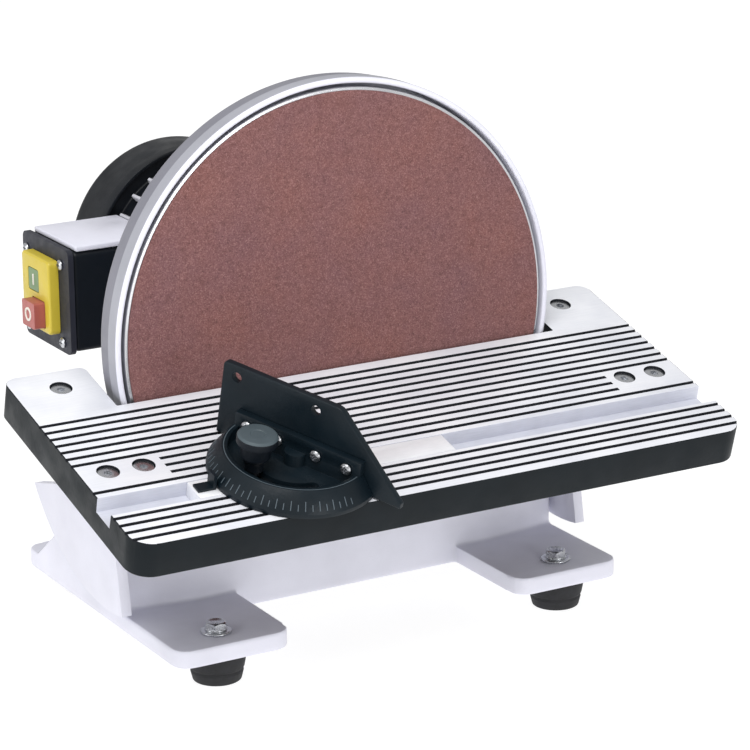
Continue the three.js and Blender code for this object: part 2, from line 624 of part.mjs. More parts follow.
// Sector that hangs from the table, centred on the tilt axis, with its bolting flange. The right one
// has a slot for the lock stud, and the left one a blind groove that runs on the guide pin.
function trunnion(side) {
  const deg = THREE.MathUtils.degToRad;
  const down = -QUARTER;
  const arc = new THREE.Shape();
  arc.moveTo(TABLE_EAR - 8, -TABLE_SKIN - GAP);
  arc.absarc(0, 0, TRUNNION_RADIUS, down + deg(38), down - deg(25), true);
  arc.lineTo(-40, -86);
  arc.lineTo(-78, -TABLE_SKIN - 8);
  arc.lineTo(-84, -TABLE_SKIN - 8);
  arc.lineTo(-84, -TABLE_SKIN - GAP);
  arc.closePath();
  const slotStart = side > 0 ? -1 : TRUNNION_THICKNESS - GROOVE_IN_SECTOR;
  const slotEnd = TRUNNION_THICKNESS + 1;
  const slot = arcSlot(ARC_RADIUS, STUD_RADIUS + RUNNING, down - deg(19.5), down + deg(30.5),
    slotStart, slotEnd);
  const web = cut(raised(arc, 0, TRUNNION_THICKNESS, 12), slot).rotate([90, 0, 90]);
  const at = side > 0 ? TRUNNION_X : -TRUNNION_X - TRUNNION_THICKNESS;
  const xs = [side * TRUNNION_X, side * 212];
  const flange = block(xs[0], xs[1], -84, TABLE_EAR - 8, -TABLE_SKIN - GAP - 6, -TABLE_SKIN - GAP);
  const bores = tableScrewPlaces(side).map(([x, y]) => rodZ(3.4, -30, 0, 12).translate([x, y, 0]));
  return cut(joined(web.translate([at, 0, 0]), flange), ...bores);
}

// ---- tilt lock ----------------------------------------------------------------------------

// Stud in the right boss, through the sector's slot, that carries the lock knob.
function tiltStud() {
  const [y, z] = studPlace();
  return rodX(STUD_RADIUS, BASE_HALF - 12, TRUNNION_X + 26).translate([0, y, z]);
}

function tiltKnob() {
  const [y, z] = studPlace();
  const seat = TRUNNION_X + TRUNNION_THICKNESS + GAP;
  let body = turnedX([[0, seat], [10, seat], [10, seat + 8], [0, seat + 8]], 20);
  const lobes = new THREE.Shape();
  const steps = 60;
  for (let i = 0; i < steps; i += 1) {
    const angle = (TURN * i) / steps;
    const r = 17 + 2.5 * Math.cos(5 * angle);
    if (i === 0) lobes.moveTo(r * Math.cos(angle), r * Math.sin(angle));
    else lobes.lineTo(r * Math.cos(angle), r * Math.sin(angle));
  }
  lobes.closePath();
  body = body.add(raised(lobes, seat + 7, seat + 24).rotate([90, 0, 90]));
  return cut(body, rodX(STUD_RADIUS + GAP, seat - 1, seat + 21)).translate([0, y, z]);
}

// Pin in the left boss whose end runs in the left sector's groove.
function tiltGuidePin() {
  const [y, z] = studPlace();
  const tip = -TRUNNION_X - GROOVE_IN_SECTOR + GAP;
  return rodX(STUD_RADIUS, tip, -BASE_HALF + 12).translate([0, y, z]);
}

// Bent strip on the base that reads the angle off the right sector.
function tiltPointer() {
  const z = BASE_TOP - 14;
  return joined(block(BASE_HALF + GAP, BASE_HALF + 1.8, 8, 22, z - 8, z + 8),
    block(BASE_HALF + GAP, BASE_HALF + 2.4, 8, 11, z - 8, z + 4));
}

// ---- mitre gauge (its own frame: origin on the swing axis at the table surface) -----------

function mitreBar() {
  const half = SLOT_WIDTH / 2 - GAP;
  const below = -SLOT_DEPTH - 1;
  const body = block(-BAR_LEFT, BAR_RIGHT, -half, half, -SLOT_DEPTH + GAP, -0.1);
  const pivotBore = turned([[0, below], [6.6, below], [6.6, -5.5], [3.4, -5.5], [3.4, 1], [0, 1]], 16);
  const knobBore = rodZ(KNOB_BORE + GAP, below, 1, 12).translate([-KNOB_ARC, 0, 0]);
  return cut(body, pivotBore, knobBore);
}

const pivotScrew = () => joined(rodZ(6.2, -9, -5.9, 16), rodZ(3, -6.5, 11, 16));

function mitrePointer() {
  const foot = block(-BAR_LEFT + 1, -HEAD_RADIUS - 1, -4, 4, 0.2, 1.6);
  const post = block(-HEAD_RADIUS - 3.2, -HEAD_RADIUS - 1, -4, 4, 0.2, HEAD_FLOOR + 3);
  return joined(foot, post);
}

// Half-round protractor with a raised ring that slopes out to its scale band, a curved slot for
// the lock stud and a wall that the fence is screwed to.
function mitreHead() {
  const back = FENCE_FACE - FENCE_THICKNESS - GAP;
  const disc = turned([
    [0, HEAD_RISE], [HEAD_RADIUS, HEAD_RISE], [HEAD_RADIUS, HEAD_EDGE], [HEAD_RING, HEAD_RING_TOP],
    [HEAD_RING - 3.5, HEAD_RING_TOP], [HEAD_RING - 3.5, HEAD_FLOOR], [0, HEAD_FLOOR],
  ], 48);
  const reach = HEAD_RADIUS + 1;
  const half = cut(disc, block(back, reach, -reach, reach, 0, HEAD_RING_TOP + 1));
  const wall = block(back - 5, back, -HEAD_RING, HEAD_RING, HEAD_FLOOR - 1, 24);
  const boss = cut(rodZ(7, HEAD_FLOOR - 1, 15, 16), block(back, back + 9, -9, 9, 0, 20));
  const slot = arcSlot(KNOB_ARC, KNOB_BORE + RUNNING, Math.PI - 1.0, Math.PI + 1.0, -1, HEAD_FLOOR + 1);
  const bores = FENCE_SCREWS.map(([y, z]) => rodX(2.4, back - 8, back + 2, 8).translate([0, y, z]));
  const body = joined(half, wall, boss);
  return cut(body, slot, rodZ(3 + GAP, -1, 12, 16), ...bores);
}

// Tall plate with one long bevelled end, drilled for a wooden facing.
function mitreFence() {
  const [z0, z1] = [1, FENCE_TOP];
  const shape = roundedOutline([
    [FENCE_REAR, z0, 1], [FENCE_REAR, z1, 2], [-24, z1, 8], [-FENCE_FRONT, z0 + 3, 1], [-FENCE_FRONT, z0],
  ]);
  const plate = raised(shape, FENCE_FACE - FENCE_THICKNESS, FENCE_FACE).rotate([90, 0, 90]);
  const bores = FENCE_BORES.map(([y, z]) => rodX(3.2, 0, FENCE_FACE + 2, 12).translate([0, y, z]));
  const pockets = FENCE_SCREWS.map(([y, z]) => rodX(2.2, 0, FENCE_FACE - 1.5, 8).translate([0, y, z]));
  return cut(plate, ...bores, ...pockets);
}

function fenceScrew(y, z) {
  const seat = FENCE_FACE - FENCE_THICKNESS - GAP - 5 - GAP;
  return joined(rodX(3.8, seat - 2.4, seat, 10), rodX(1.8, seat - 1, FENCE_FACE - 2, 8)).translate([0, y, z]);
}

// Lock knob with its stud, down through the curved slot into the bar.
function mitreKnob() {
  const stud = rodZ(KNOB_BORE, -SLOT_DEPTH + 1, HEAD_FLOOR + 2, 12);
  const grip = turned([
    [0, HEAD_FLOOR + GAP], [6, HEAD_FLOOR + GAP], [6, 13], [9.5, 17], [9.5, 25], [12.9, 26.5],
    [12.9, 31], [11.5, 32.5], [0, 32.5],
  ], 28);
  return joined(stud, grip).translate([-KNOB_ARC, 0, 0]);
}

// ---- assembly -----------------------------------------------------------------------------

const sander = new THREE.Group();

sander.add(piece('base_frame', baseFrame(), 'castPaint'));
for (const [name, x, y] of footPlaces()) {
  const rubber = piece(`foot_${name}`, foot(), 'rubber');
  rubber.position.set(x, y, 0);
  const bolt = piece(`foot_bolt_${name}`, footBolt(), 'zinc');
  bolt.position.set(x, y, 0);
  sander.add(rubber, bolt);
}
sander.add(piece('disc_guard', discGuard(), 'castPaint'));
sander.add(piece('dust_port', dustPort(), 'blackPlastic'));
sander.add(piece('motor_front_shield', frontShield(), 'motorPaint'));
sander.add(piece('motor_housing', motorHousing(), 'motorPaint'));
sander.add(piece('motor_rear_shield', rearShield(), 'motorPaint'));
sander.add(piece('front_bearing', frontBearing(), 'steel'));
sander.add(piece('rear_bearing', rearBearing(), 'steel'));
sander.add(piece('stator_core', statorCore(), 'darkSteel'));
sander.add(piece('fan_cowl', fanCowl(), 'blackPaint'));
sander.add(piece('motor_foot', motorFoot(), 'castPaint'));
sander.add(piece('switch_bracket', switchBracket(), 'castPaint'));
sander.add(piece('switch_box', switchBox(), 'blackPlastic'));
sander.add(piece('switch_cover', switchCover(), 'greyPlastic'));
sander.add(piece('switch_plate', switchPlate(), 'yellowPlastic'));
COVER_SCREWS.forEach(([dy, dz], i) => sander.add(piece(`cover_screw_${i + 1}`, coverScrew(dy, dz), 'zinc')));
sander.add(piece('cable_gland', cableGland(), 'blackPlastic'));
sander.add(piece('run_capacitor', runCapacitor(), 'aluminium'));
sander.add(piece('start_button', button(START_BUTTON), 'greenPlastic'));
sander.add(piece('stop_button', button(STOP_BUTTON), 'redPlastic'));
sander.add(piece('tilt_stud', tiltStud(), 'zinc'));
sander.add(piece('tilt_guide_pin', tiltGuidePin(), 'zinc'));
sander.add(piece('tilt_pointer', tiltPointer(), 'zinc'));
sander.add(piece('tilt_lock_knob', tiltKnob(), 'blackPlastic'));

sander.add(piece('abrasive_disc', abrasiveDisc(), 'abrasive'));
sander.add(piece('disc_plate', discPlate(), 'aluminium'));
sander.add(piece('motor_shaft', motorShaft(), 'steel'));
sander.add(piece('rotor_core', rotorCore(), 'darkSteel'));
sander.add(piece('cooling_fan', coolingFan(), 'blackPlastic'));

const table = new THREE.Group();
table.position.set(0, -TABLE_GAP, TABLE_HEIGHT);
table.rotation.x = TILT;
table.add(piece('table_top', tableTop(), 'aluminium'));
for (const [hand, side] of [['left', -1], ['right', 1]]) {
  table.add(piece(`trunnion_${hand}`, trunnion(side), 'castPaint'));
  tableScrewPlaces(side).forEach(([x, y], i) => {
    const screw = piece(`table_screw_${hand}_${i + 1}`, tableScrew(), 'zinc');
    screw.position.set(x, y, 0);
    table.add(screw);
  });
}
sander.add(table);

const mitre = new THREE.Group();
mitre.position.set(MITRE_X, -SLOT_CENTRE, 0);
mitre.add(piece('mitre_bar', mitreBar(), 'aluminium'));
mitre.add(piece('mitre_pivot_screw', pivotScrew(), 'zinc'));
mitre.add(piece('mitre_pointer', mitrePointer(), 'blackPaint'));
mitre.add(piece('mitre_knob', mitreKnob(), 'blackPlastic'));
const swing = new THREE.Group();
swing.rotation.z = MITRE_SWING;
swing.add(piece('mitre_head', mitreHead(), 'blackPaint'));
swing.add(piece('mitre_fence', mitreFence(), 'blackPaint'));
FENCE_SCREWS.forEach(([y, z], i) => swing.add(piece(`fence_screw_${i + 1}`, fenceScrew(y, z), 'zinc')));
mitre.add(swing);
table.add(mitre);

// The finished model stands on the floor with its box centred over the origin.
const box = new THREE.Box3().setFromObject(sander, true);
const middle = box.getCenter(new THREE.Vector3());
const machine = new THREE.Group();
sander.position.set(-middle.x, -middle.y, -box.min.z);
machine.add(sander);

export default machine;
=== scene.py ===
"""Bench disc sander: the fine visual model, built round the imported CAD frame.

Shapes are made in millimetres in the machine's own frames (the shaft's, the tilting table's and the
mitre gauge's), and each frame's matrix takes them to metres in the row frame.
"""

import json
import math

import bmesh
import bpy
from mathutils import Matrix, Vector


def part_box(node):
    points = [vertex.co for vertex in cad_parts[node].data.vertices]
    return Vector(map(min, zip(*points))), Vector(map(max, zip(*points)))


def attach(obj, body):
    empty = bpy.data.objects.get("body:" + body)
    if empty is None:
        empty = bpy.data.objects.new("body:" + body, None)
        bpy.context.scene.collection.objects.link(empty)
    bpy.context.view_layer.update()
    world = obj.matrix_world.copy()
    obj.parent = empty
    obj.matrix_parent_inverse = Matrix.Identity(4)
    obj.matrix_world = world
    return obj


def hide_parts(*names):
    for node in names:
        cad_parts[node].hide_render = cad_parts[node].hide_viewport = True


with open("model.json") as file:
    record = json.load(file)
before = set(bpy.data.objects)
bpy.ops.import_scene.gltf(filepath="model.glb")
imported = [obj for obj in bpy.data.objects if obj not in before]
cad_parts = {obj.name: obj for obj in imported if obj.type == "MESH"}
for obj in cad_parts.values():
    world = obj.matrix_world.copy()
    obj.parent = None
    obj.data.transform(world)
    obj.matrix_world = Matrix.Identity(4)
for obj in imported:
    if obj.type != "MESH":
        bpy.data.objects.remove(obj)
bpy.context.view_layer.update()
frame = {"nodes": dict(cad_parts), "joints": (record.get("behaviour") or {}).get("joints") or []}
NODES = frame["nodes"]
JOINTS = {joint["name"]: joint for joint in frame["joints"]}

# ---- frames of the machine (millimetres in, metres out) -------------------------------------

MM = 0.001
SCALE = Matrix.Scale(MM, 4)
SWING_ANGLE = math.radians(30)
table_normal = Vector(JOINTS["mitre_swing"]["axis"])
TILT = Matrix.Rotation(math.atan2(-table_normal.y, table_normal.z), 4, "X")


def at_joint(name):
    return Matrix.Translation(JOINTS[name]["pos_m"])


SHAFT = at_joint("disc_spin") @ SCALE               # origin on the shaft at the abrasive's face
TABLE = at_joint("table_tilt") @ TILT @ SCALE       # origin on the tilt axis, +Z out of the table
MITRE = at_joint("mitre_swing") @ TILT @ SCALE      # origin on the swing axis at the table's surface
SWING = MITRE @ Matrix.Rotation(SWING_ANGLE, 4, "Z")
LOCK = at_joint("mitre_lock_turn") @ TILT @ SCALE
TILT_LOCK = at_joint("tilt_knob_turn") @ SCALE
ALONG_Y = Matrix.Rotation(-math.pi / 2, 4, "X")     # turns a shape's +Z to point back along +Y
ALONG_X = Matrix.Rotation(math.pi / 2, 4, "Y")      # turns a shape's +Z to point along +X
FLAT_X = Matrix.Rotation(math.pi / 2, 4, "Z") @ Matrix.Rotation(math.pi / 2, 4, "X")  # X,Y to Y,Z

FINE = 192               # segments round the large discs
ROUND = 96
SMALL = 48
SHARP_ANGLE = math.radians(32)

# ---- dimensions shared by several pieces, in millimetres ------------------------------------

GAP = 0.3                # clearance between neighbouring pieces
ABRASIVE_RADIUS, ABRASIVE_THICKNESS = 152.4, 1.2
PLATE_RADIUS, HUB_BORE = 154.5, 8.9
GUARD_RADIUS, GUARD_BORE, GUARD_BACK = 161, 157, 27
PORT_X, PORT_Z, PORT_RADIUS, PORT_BORE, PORT_BACK = 96, -78, 25, 22.5, 78
MOTOR_FRONT, MOTOR_REAR, SHAFT_END = 27.3, 208, 234
MOTOR_BORE, MOTOR_SHELL, FIN_TIP, FIN_COUNT = 58, 66.5, 72, 28
COWL_RADIUS, COWL_BACK, COWL_SLOTS = 78, 260, 12
FAN_RADIUS, FAN_DEPTH, FAN_BLADES = 60, 16, 6
BASE_BOTTOM, EAR_TOP = -181, -169
TABLE_HALF, TABLE_DEPTH, TABLE_EAR, NOTCH_HALF = 220, 150, 50, 163
TABLE_RIM, TABLE_SKIN = 24, 9
SLOT_CENTRE, SLOT_WIDTH, SLOT_DEPTH = 103.6, 19.2, 9.5
GROOVE_PITCH, GROOVE_WIDTH, GROOVE_DEPTH = 7.9, 2.6, 1.2
FIRST_GROOVE, GROOVES_BEHIND_SLOT, GROOVES_BEFORE_SLOT, SLOT_LAND = 9.5, 11, 4, 4.5
PAD_ROWS, PAD_INNER = (7, 8, 9), 164.4
TABLE_SCREWS = ((177, -68.5), (201, -68.5), (188, 30))
HEAD_RADIUS, HEAD_EDGE, HEAD_RING, HEAD_RING_TOP, HEAD_FLOOR = 54, 3, 45.5, 15, 7
FENCE_FACE, FENCE_THICKNESS, FENCE_LOW, FENCE_HIGH = 11, 5, 1, 52
FENCE_SCREWS = ((-36, 17), (-14, 17), (14, 17), (36, 17))
FENCE_HOLES = ((50.5, 44), (-7, 44))
BOX_FACE, BOX_INNER, BOX_Y, BOX_Z = -126, -80, (138.5, 209.5), (-36, 33.5)
BOX_CENTRE = sum(BOX_Y) / 2
COVER_SCREWS = ((-25, 23.5), (30, 23.5), (-25, -30.5), (30, -30.5))
COVER_FRONT = -130.3
SWITCH_FACE, SWITCH_Y, SWITCH_Z = -138, (153, 197), (-26, 25)
START_RISE, START_Y, START_Z = 0.5, (170, 186), (0.5, 15.5)
STOP_RISE, STOP_Y, STOP_Z = 8.4, (161, 181), (-22.5, -4.5)
GLAND_X, GLAND_Z = -103, -4

# ---- materials ------------------------------------------------------------------------------


def srgb(red, green, blue):
    """A colour given as 0 to 255 display values, as the linear colour that a shader takes."""
    linear = []
    for value in (red, green, blue):
        v = value / 255
        linear.append(v / 12.92 if v <= 0.04045 else ((v + 0.055) / 1.055) ** 2.4)
    return (*linear, 1)


class Finish:
    """A Principled material with helpers that add its colour variation, roughness and relief."""

    def __init__(self, name, roughness=0.5, metallic=0.0, **sockets):
        self.material = bpy.data.materials.new(name)
        self.material.use_nodes = True
        self.tree = self.material.node_tree
        self.shader = self.tree.nodes["Principled BSDF"]
        self.shader.inputs["Roughness"].default_value = roughness
        self.shader.inputs["Metallic"].default_value = metallic
        for socket, value in sockets.items():
            self.shader.inputs[socket.replace("_", " ")].default_value = value
        self.place = self.node("ShaderNodeTexCoord").outputs["Object"]
        self.relief = None

    def node(self, kind, **settings):
        made = self.tree.nodes.new(kind)
        for key, value in settings.items():
            if key in made.inputs:
                made.inputs[key].default_value = value
            else:
                setattr(made, key, value)
        return made

    def link(self, source, target):
        self.tree.links.new(source, target)

    def stretched(self, x=1.0, y=1.0, z=1.0):
        mapping = self.node("ShaderNodeMapping")
        mapping.inputs["Scale"].default_value = (x, y, z)
        self.link(self.place, mapping.inputs["Vector"])
        return mapping.outputs["Vector"]

    def noise(self, grain_mm, detail=3.0, vector=None, roughness=0.5):
        made = self.node("ShaderNodeTexNoise", Scale=1 / (grain_mm * MM), Detail=detail)
        made.inputs["Roughness"].default_value = roughness
        self.link(vector or self.place, made.inputs["Vector"])
        return made.outputs["Fac"]

    def cells(self, size_mm, feature="F1"):
        made = self.node("ShaderNodeTexVoronoi", Scale=1 / (size_mm * MM))
        made.feature = feature
        self.link(self.place, made.inputs["Vector"])
        return made.outputs["Distance"]

    def ramp(self, factor, stops):
        made = self.node("ShaderNodeValToRGB")
        elements = made.color_ramp.elements
        while len(elements) < len(stops):
            elements.new(0.5)
        for element, (position, color) in zip(elements, stops):
            element.position = position
            element.color = color if len(color) == 4 else (*color, 1)
        self.link(factor, made.inputs["Fac"])
        return made.outputs["Color"]

    def spread(self, factor, low, high, start=0.3, end=0.7):
        """Takes a factor's start to end range to low to high."""
        made = self.node("ShaderNodeMapRange")
        for key, value in (("From Min", start), ("From Max", end), ("To Min", low), ("To Max", high)):
            made.inputs[key].default_value = value
        self.link(factor, made.inputs["Value"])
        return made.outputs["Result"]

    def blend(self, factor, first, second, kind="MIX"):
        made = self.node("ShaderNodeMix", data_type="RGBA", blend_type=kind)
        for source, index in ((factor, 0), (first, 6), (second, 7)):
            if isinstance(source, (tuple, float, int)):
                made.inputs[index].default_value = source
            else:
                self.link(source, made.inputs[index])
        return made.outputs[2]

    def color(self, source):
        self.link(source, self.shader.inputs["Base Color"])

    def roughness(self, source):
        self.link(source, self.shader.inputs["Roughness"])

    def bump(self, height, depth_mm, strength=1.0):
        made = self.node("ShaderNodeBump", Strength=strength, Distance=depth_mm * MM)
        self.link(height, made.inputs["Height"])
        if self.relief is not None:
            self.link(self.relief, made.inputs["Normal"])
        self.relief = made.outputs["Normal"]
        self.link(self.relief, self.shader.inputs["Normal"])


def shaded(color, share):
    return (*(channel * share for channel in color[:3]), 1)


def painted(name, color, dark=0.86, roughness=0.42, orange_peel=0.05, texture=0.02, gloss=0.45):
    """Stoved enamel over a casting: orange peel, a little mottle, and dust in the low spots."""
    paint = Finish(name, roughness, 0.0, Specular_IOR_Level=gloss)
    cloud = paint.noise(38, 4)
    speck = paint.noise(1.1, 2)
    soft = paint.ramp(cloud, ((0.3, shaded(color, dark)), (0.7, color)))
    paint.color(paint.blend(paint.spread(speck, 0, 0.35, 0.62, 0.8), soft, shaded(color, dark * 0.9)))
    paint.roughness(paint.spread(paint.noise(14, 3), roughness - 0.07, roughness + 0.1))
    paint.bump(paint.noise(2.4, 2), orange_peel)
    paint.bump(speck, texture)
    return paint.material


def moulded(name, color, roughness=0.45, grain=0.7, depth=0.03, dark=0.8, **sockets):
    """Moulded plastic with the fine spark-eroded texture of its tool."""
    plastic = Finish(name, roughness, 0.0, **sockets)
    cloud = plastic.noise(22, 3)
    plastic.color(plastic.ramp(cloud, ((0.3, shaded(color, dark)), (0.72, color))))
    plastic.roughness(plastic.spread(plastic.noise(6, 4), roughness - 0.08, roughness + 0.1))
    plastic.bump(plastic.cells(grain), depth, 0.6)
    return plastic.material


def bare_metal(name, color, roughness=0.3, stretch=(1, 1, 1), grain=0.5, depth=0.01, dark=0.75,
               shine=1.0):
    """Machined or plated metal with fine lines drawn out along the axis of least stretch."""
    metal = Finish(name, roughness, shine)
    lines = metal.noise(grain, 4, metal.stretched(*stretch))
    stain = metal.noise(17, 4)
    base = metal.ramp(stain, ((0.3, shaded(color, dark)), (0.65, color)))
    metal.color(metal.blend(metal.spread(lines, 0, 0.3), base, shaded(color, dark * 0.8)))
    metal.roughness(metal.spread(lines, roughness - 0.08, roughness + 0.12))
    metal.bump(lines, depth)
    return metal.material


def turned_metal(name, color, roughness=0.28):
    """Aluminium faced on a lathe: fine rings round the shaft axis."""
    metal = Finish(name, roughness, 1.0)
    centre = metal.node("ShaderNodeVectorMath", operation="SUBTRACT")
    metal.link(metal.place, centre.inputs[0])
    centre.inputs[1].default_value = JOINTS["disc_spin"]["pos_m"]
    flat = metal.node("ShaderNodeVectorMath", operation="MULTIPLY")
    metal.link(centre.outputs["Vector"], flat.inputs[0])
    flat.inputs[1].default_value = (1, 0, 1)
    reach = metal.node("ShaderNodeVectorMath", operation="LENGTH")
    metal.link(flat.outputs["Vector"], reach.inputs[0])
    rings = metal.node("ShaderNodeTexNoise", noise_dimensions="1D", Scale=2600.0, Detail=3.0)
    metal.link(reach.outputs["Value"], rings.inputs["W"])
    base = metal.ramp(metal.noise(25, 4), ((0.3, shaded(color, 0.8)), (0.65, color)))
    metal.color(metal.blend(metal.spread(rings.outputs["Fac"], 0, 0.35), base, shaded(color, 0.6)))
    metal.roughness(metal.spread(rings.outputs["Fac"], roughness - 0.06, roughness + 0.14))
    metal.bump(rings.outputs["Fac"], 0.02)
    return metal.material


def abrasive_finish():
    """Red-brown grit bonded to cloth: grains of several shades, soft streaks and worn patches."""
    grit = Finish("abrasive", 0.9)
    grit.shader.inputs["Specular IOR Level"].default_value = 0.25
    grains = grit.noise(0.75, 4, roughness=0.65)
    clumps = grit.noise(3.2, 3, roughness=0.6)
    patches = grit.noise(55, 4, roughness=0.6)
    streaks = grit.noise(9, 3, grit.stretched(1.0, 1.0, 0.22))
    warm, cool = srgb(130, 88, 84), srgb(121, 86, 89)
    base = grit.ramp(patches, ((0.32, cool), (0.66, warm)))
    base = grit.blend(grit.spread(streaks, 0, 0.3, 0.42, 0.72), base, srgb(134, 95, 91))
    base = grit.blend(grit.spread(clumps, 0.0, 0.5, 0.45, 0.75), base, srgb(98, 65, 63))
    base = grit.blend(grit.spread(grains, 0, 0.85, 0.52, 0.7), base, srgb(168, 128, 126))
    base = grit.blend(grit.spread(grains, 0.8, 0.0, 0.3, 0.45), base, srgb(66, 40, 42))
    grit.color(base)
    grit.roughness(grit.spread(grains, 0.75, 1.0))
    grit.bump(grains, 0.35)
    grit.bump(grit.cells(0.9), 0.15)
    return grit.material


def rubber_finish():
    rubber = Finish("foot_rubber", 0.7)
    dust = rubber.noise(5, 5)
    rubber.color(rubber.ramp(dust, ((0.4, srgb(18, 19, 22)), (0.75, srgb(44, 44, 48)))))
    rubber.roughness(rubber.spread(dust, 0.6, 0.85))
    rubber.bump(rubber.noise(0.8, 3), 0.05)
    return rubber.material


def laminated(name, color):
    """Stacked laminations: thin edges side by side along the shaft."""
    stack = Finish(name, 0.45, 0.8)
    wave = stack.node("ShaderNodeTexWave", bands_direction="Y", Scale=260.0, Distortion=0.4)
    stack.link(stack.place, wave.inputs["Vector"])
    stack.color(stack.ramp(wave.outputs["Fac"], ((0.2, shaded(color, 0.4)), (0.6, color))))
    stack.bump(wave.outputs["Fac"], 0.15)
    return stack.material


def table_surface():
    """The ground top: lines along the table, cloudy reflections and a few stray scratches."""
    top = Finish("table_top_ground", 0.4, 0.15)
    lines = top.noise(0.6, 4, top.stretched(0.03, 1.0, 1.0))
    cloud = top.noise(45, 4)
    scratch = top.noise(2.2, 5, top.stretched(0.25, 1.6, 1.0), roughness=0.7)
    base = top.ramp(cloud, ((0.3, srgb(230, 232, 240)), (0.68, srgb(250, 251, 255))))
    base = top.blend(top.spread(lines, 0, 0.22), base, srgb(206, 209, 218))
    base = top.blend(top.spread(scratch, 0, 0.5, 0.68, 0.8), base, srgb(176, 178, 188))
    top.color(base)
    top.roughness(top.spread(lines, 0.3, 0.5))
    top.bump(lines, 0.012)
    return top.material


GREY_PAINT, MOTOR_GREY = srgb(232, 232, 244), srgb(132, 132, 142)
BLACK_PAINT_AND_SHADE, MITRE_PAINT = srgb(20, 24, 30), srgb(14, 27, 35)
ZINC = srgb(214, 216, 220)
ALUMINIUM = srgb(214, 215, 219)

LOOKS = {
    "cast_paint": painted("cast_paint", GREY_PAINT, dark=0.9),
    "motor_paint": painted("motor_paint", MOTOR_GREY, orange_peel=0.09),
    "rim_paint": painted("rim_paint", srgb(168, 169, 178), orange_peel=0.07),
    # painted highlight: a lit, lighter copy of the motor's grey paint, put on the fins
    "fin_painted_highlight": painted("fin_painted_highlight", srgb(214, 214, 222), orange_peel=0.07),
    # real black enamel on the fan cowl; on the motor's shell between the fins and on the rear shield this
    # black is painted shade
    "black_enamel": painted("black_enamel", BLACK_PAINT_AND_SHADE, dark=0.6, roughness=0.42, gloss=0.25),
    "mitre_enamel": painted("mitre_enamel", MITRE_PAINT, dark=0.65, roughness=0.4, orange_peel=0.08,
                            gloss=0.25),
    "table_paint": painted("table_paint", srgb(10, 20, 26), dark=0.72, roughness=0.45, gloss=0.2),
    "groove_paint": painted("groove_paint", srgb(34, 36, 42), dark=0.7, roughness=0.6, gloss=0.2),
    "scale_white": painted("scale_white", srgb(84, 96, 104), dark=0.8, roughness=0.55),
    "black_plastic": moulded("black_plastic", srgb(13, 20, 28), Specular_IOR_Level=0.25),
    "grey_plastic": moulded("grey_plastic", srgb(46, 48, 58), roughness=0.5, Specular_IOR_Level=0.3),
    "yellow_plastic": moulded("yellow_plastic", srgb(214, 192, 62), 0.38, dark=0.88, depth=0.015),
    "green_plastic": moulded("green_plastic", srgb(112, 142, 96), 0.35, dark=0.88, depth=0.015),
    "red_plastic": moulded("red_plastic", srgb(178, 96, 90), 0.35, dark=0.8, depth=0.015),
    "knob_plastic": moulded("knob_plastic", srgb(74, 86, 92), 0.5, Specular_IOR_Level=0.4),
    "switch_white": moulded("switch_white", srgb(232, 228, 218), 0.4, dark=0.92, depth=0.01),
    "bearing_steel": bare_metal("bearing_steel", srgb(196, 198, 204), 0.22, (0.05, 1, 1)),
    "core_steel": laminated("core_steel", srgb(150, 152, 158)),
    "zinc_steel": bare_metal("zinc_steel", ZINC, 0.27, (1, 1, 0.4), depth=0.02),
    "slot_floor": bare_metal("slot_floor", srgb(222, 224, 234), 0.5, (0.04, 1, 1), dark=0.9,
                             shine=0.2),
    "disc_aluminium": turned_metal("disc_aluminium", ALUMINIUM),
    "bar_aluminium": bare_metal("bar_aluminium", srgb(250, 251, 255), 0.5, (0.05, 1, 1), dark=0.92,
                                shine=0.25),
    "table_top": table_surface(),
    "abrasive": abrasive_finish(),
    "foot_rubber": rubber_finish(),
}

# ---- shape helpers --------------------------------------------------------------------------


def rounded(points, closed=True, steps=5):
    """Turns [(x, y) or (x, y, radius)] into an outline with an arc at each corner with a radius."""
    places = [Vector(point[:2]) for point in points]
    count = len(points)
    made = []
    for i, point in enumerate(points):
        radius = point[2] if len(point) > 2 else 0
        at_end = not closed and i in (0, count - 1)
        if radius <= 0 or at_end:
            made.append(places[i])
            continue
        before = (places[i - 1] - places[i]).normalized()
        after = (places[(i + 1) % count] - places[i]).normalized()
        half = before.angle(after) / 2
        centre = places[i] + (before + after).normalized() * (radius / math.sin(half))
        reach = radius / math.tan(half)
        first = places[i] + before * reach - centre
        last = places[i] + after * reach - centre
        start = math.atan2(first.y, first.x)
        sweep = math.remainder(math.atan2(last.y, last.x) - start, math.tau)
        for step in range(steps + 1):
            angle = start + sweep * step / steps
            made.append(centre + Vector((math.cos(angle), math.sin(angle))) * radius)
    return made


def arc(radius, start, end, steps, centre=(0, 0)):
    """Points on an arc, with its angles in degrees."""
    angles = (math.radians(start + (end - start) * i / steps) for i in range(steps + 1))
    return [(centre[0] + radius * math.cos(a), centre[1] + radius * math.sin(a)) for a in angles]


def tidy(bm):
    bmesh.ops.remove_doubles(bm, verts=bm.verts, dist=1e-4)
    bmesh.ops.recalc_face_normals(bm, faces=bm.faces)
    return bm


def turned(profile, segments=ROUND, closed=False, steps=5):
    """A body of revolution about Z from (radius, height, corner radius) points."""
    bm = bmesh.new()
    points = rounded(profile, closed, steps)
    rings = []
    for radius, height in points:
        if radius < 1e-6:
            rings.append([bm.verts.new((0, 0, height))] * segments)
            continue
        angles = [math.tau * i / segments for i in range(segments)]
        rings.append([bm.verts.new((radius * math.cos(a), radius * math.sin(a), height)) for a in angles])
    pairs = list(zip(rings, rings[1:]))
    if closed:
        pairs.append((rings[-1], rings[0]))
    for lower, upper in pairs:
        for i in range(segments):
            j = (i + 1) % segments
            corners = []
            for vert in (lower[i], lower[j], upper[j], upper[i]):
                if vert not in corners:
                    corners.append(vert)
            if len(corners) > 2:
                bm.faces.new(corners)
    return tidy(bm)


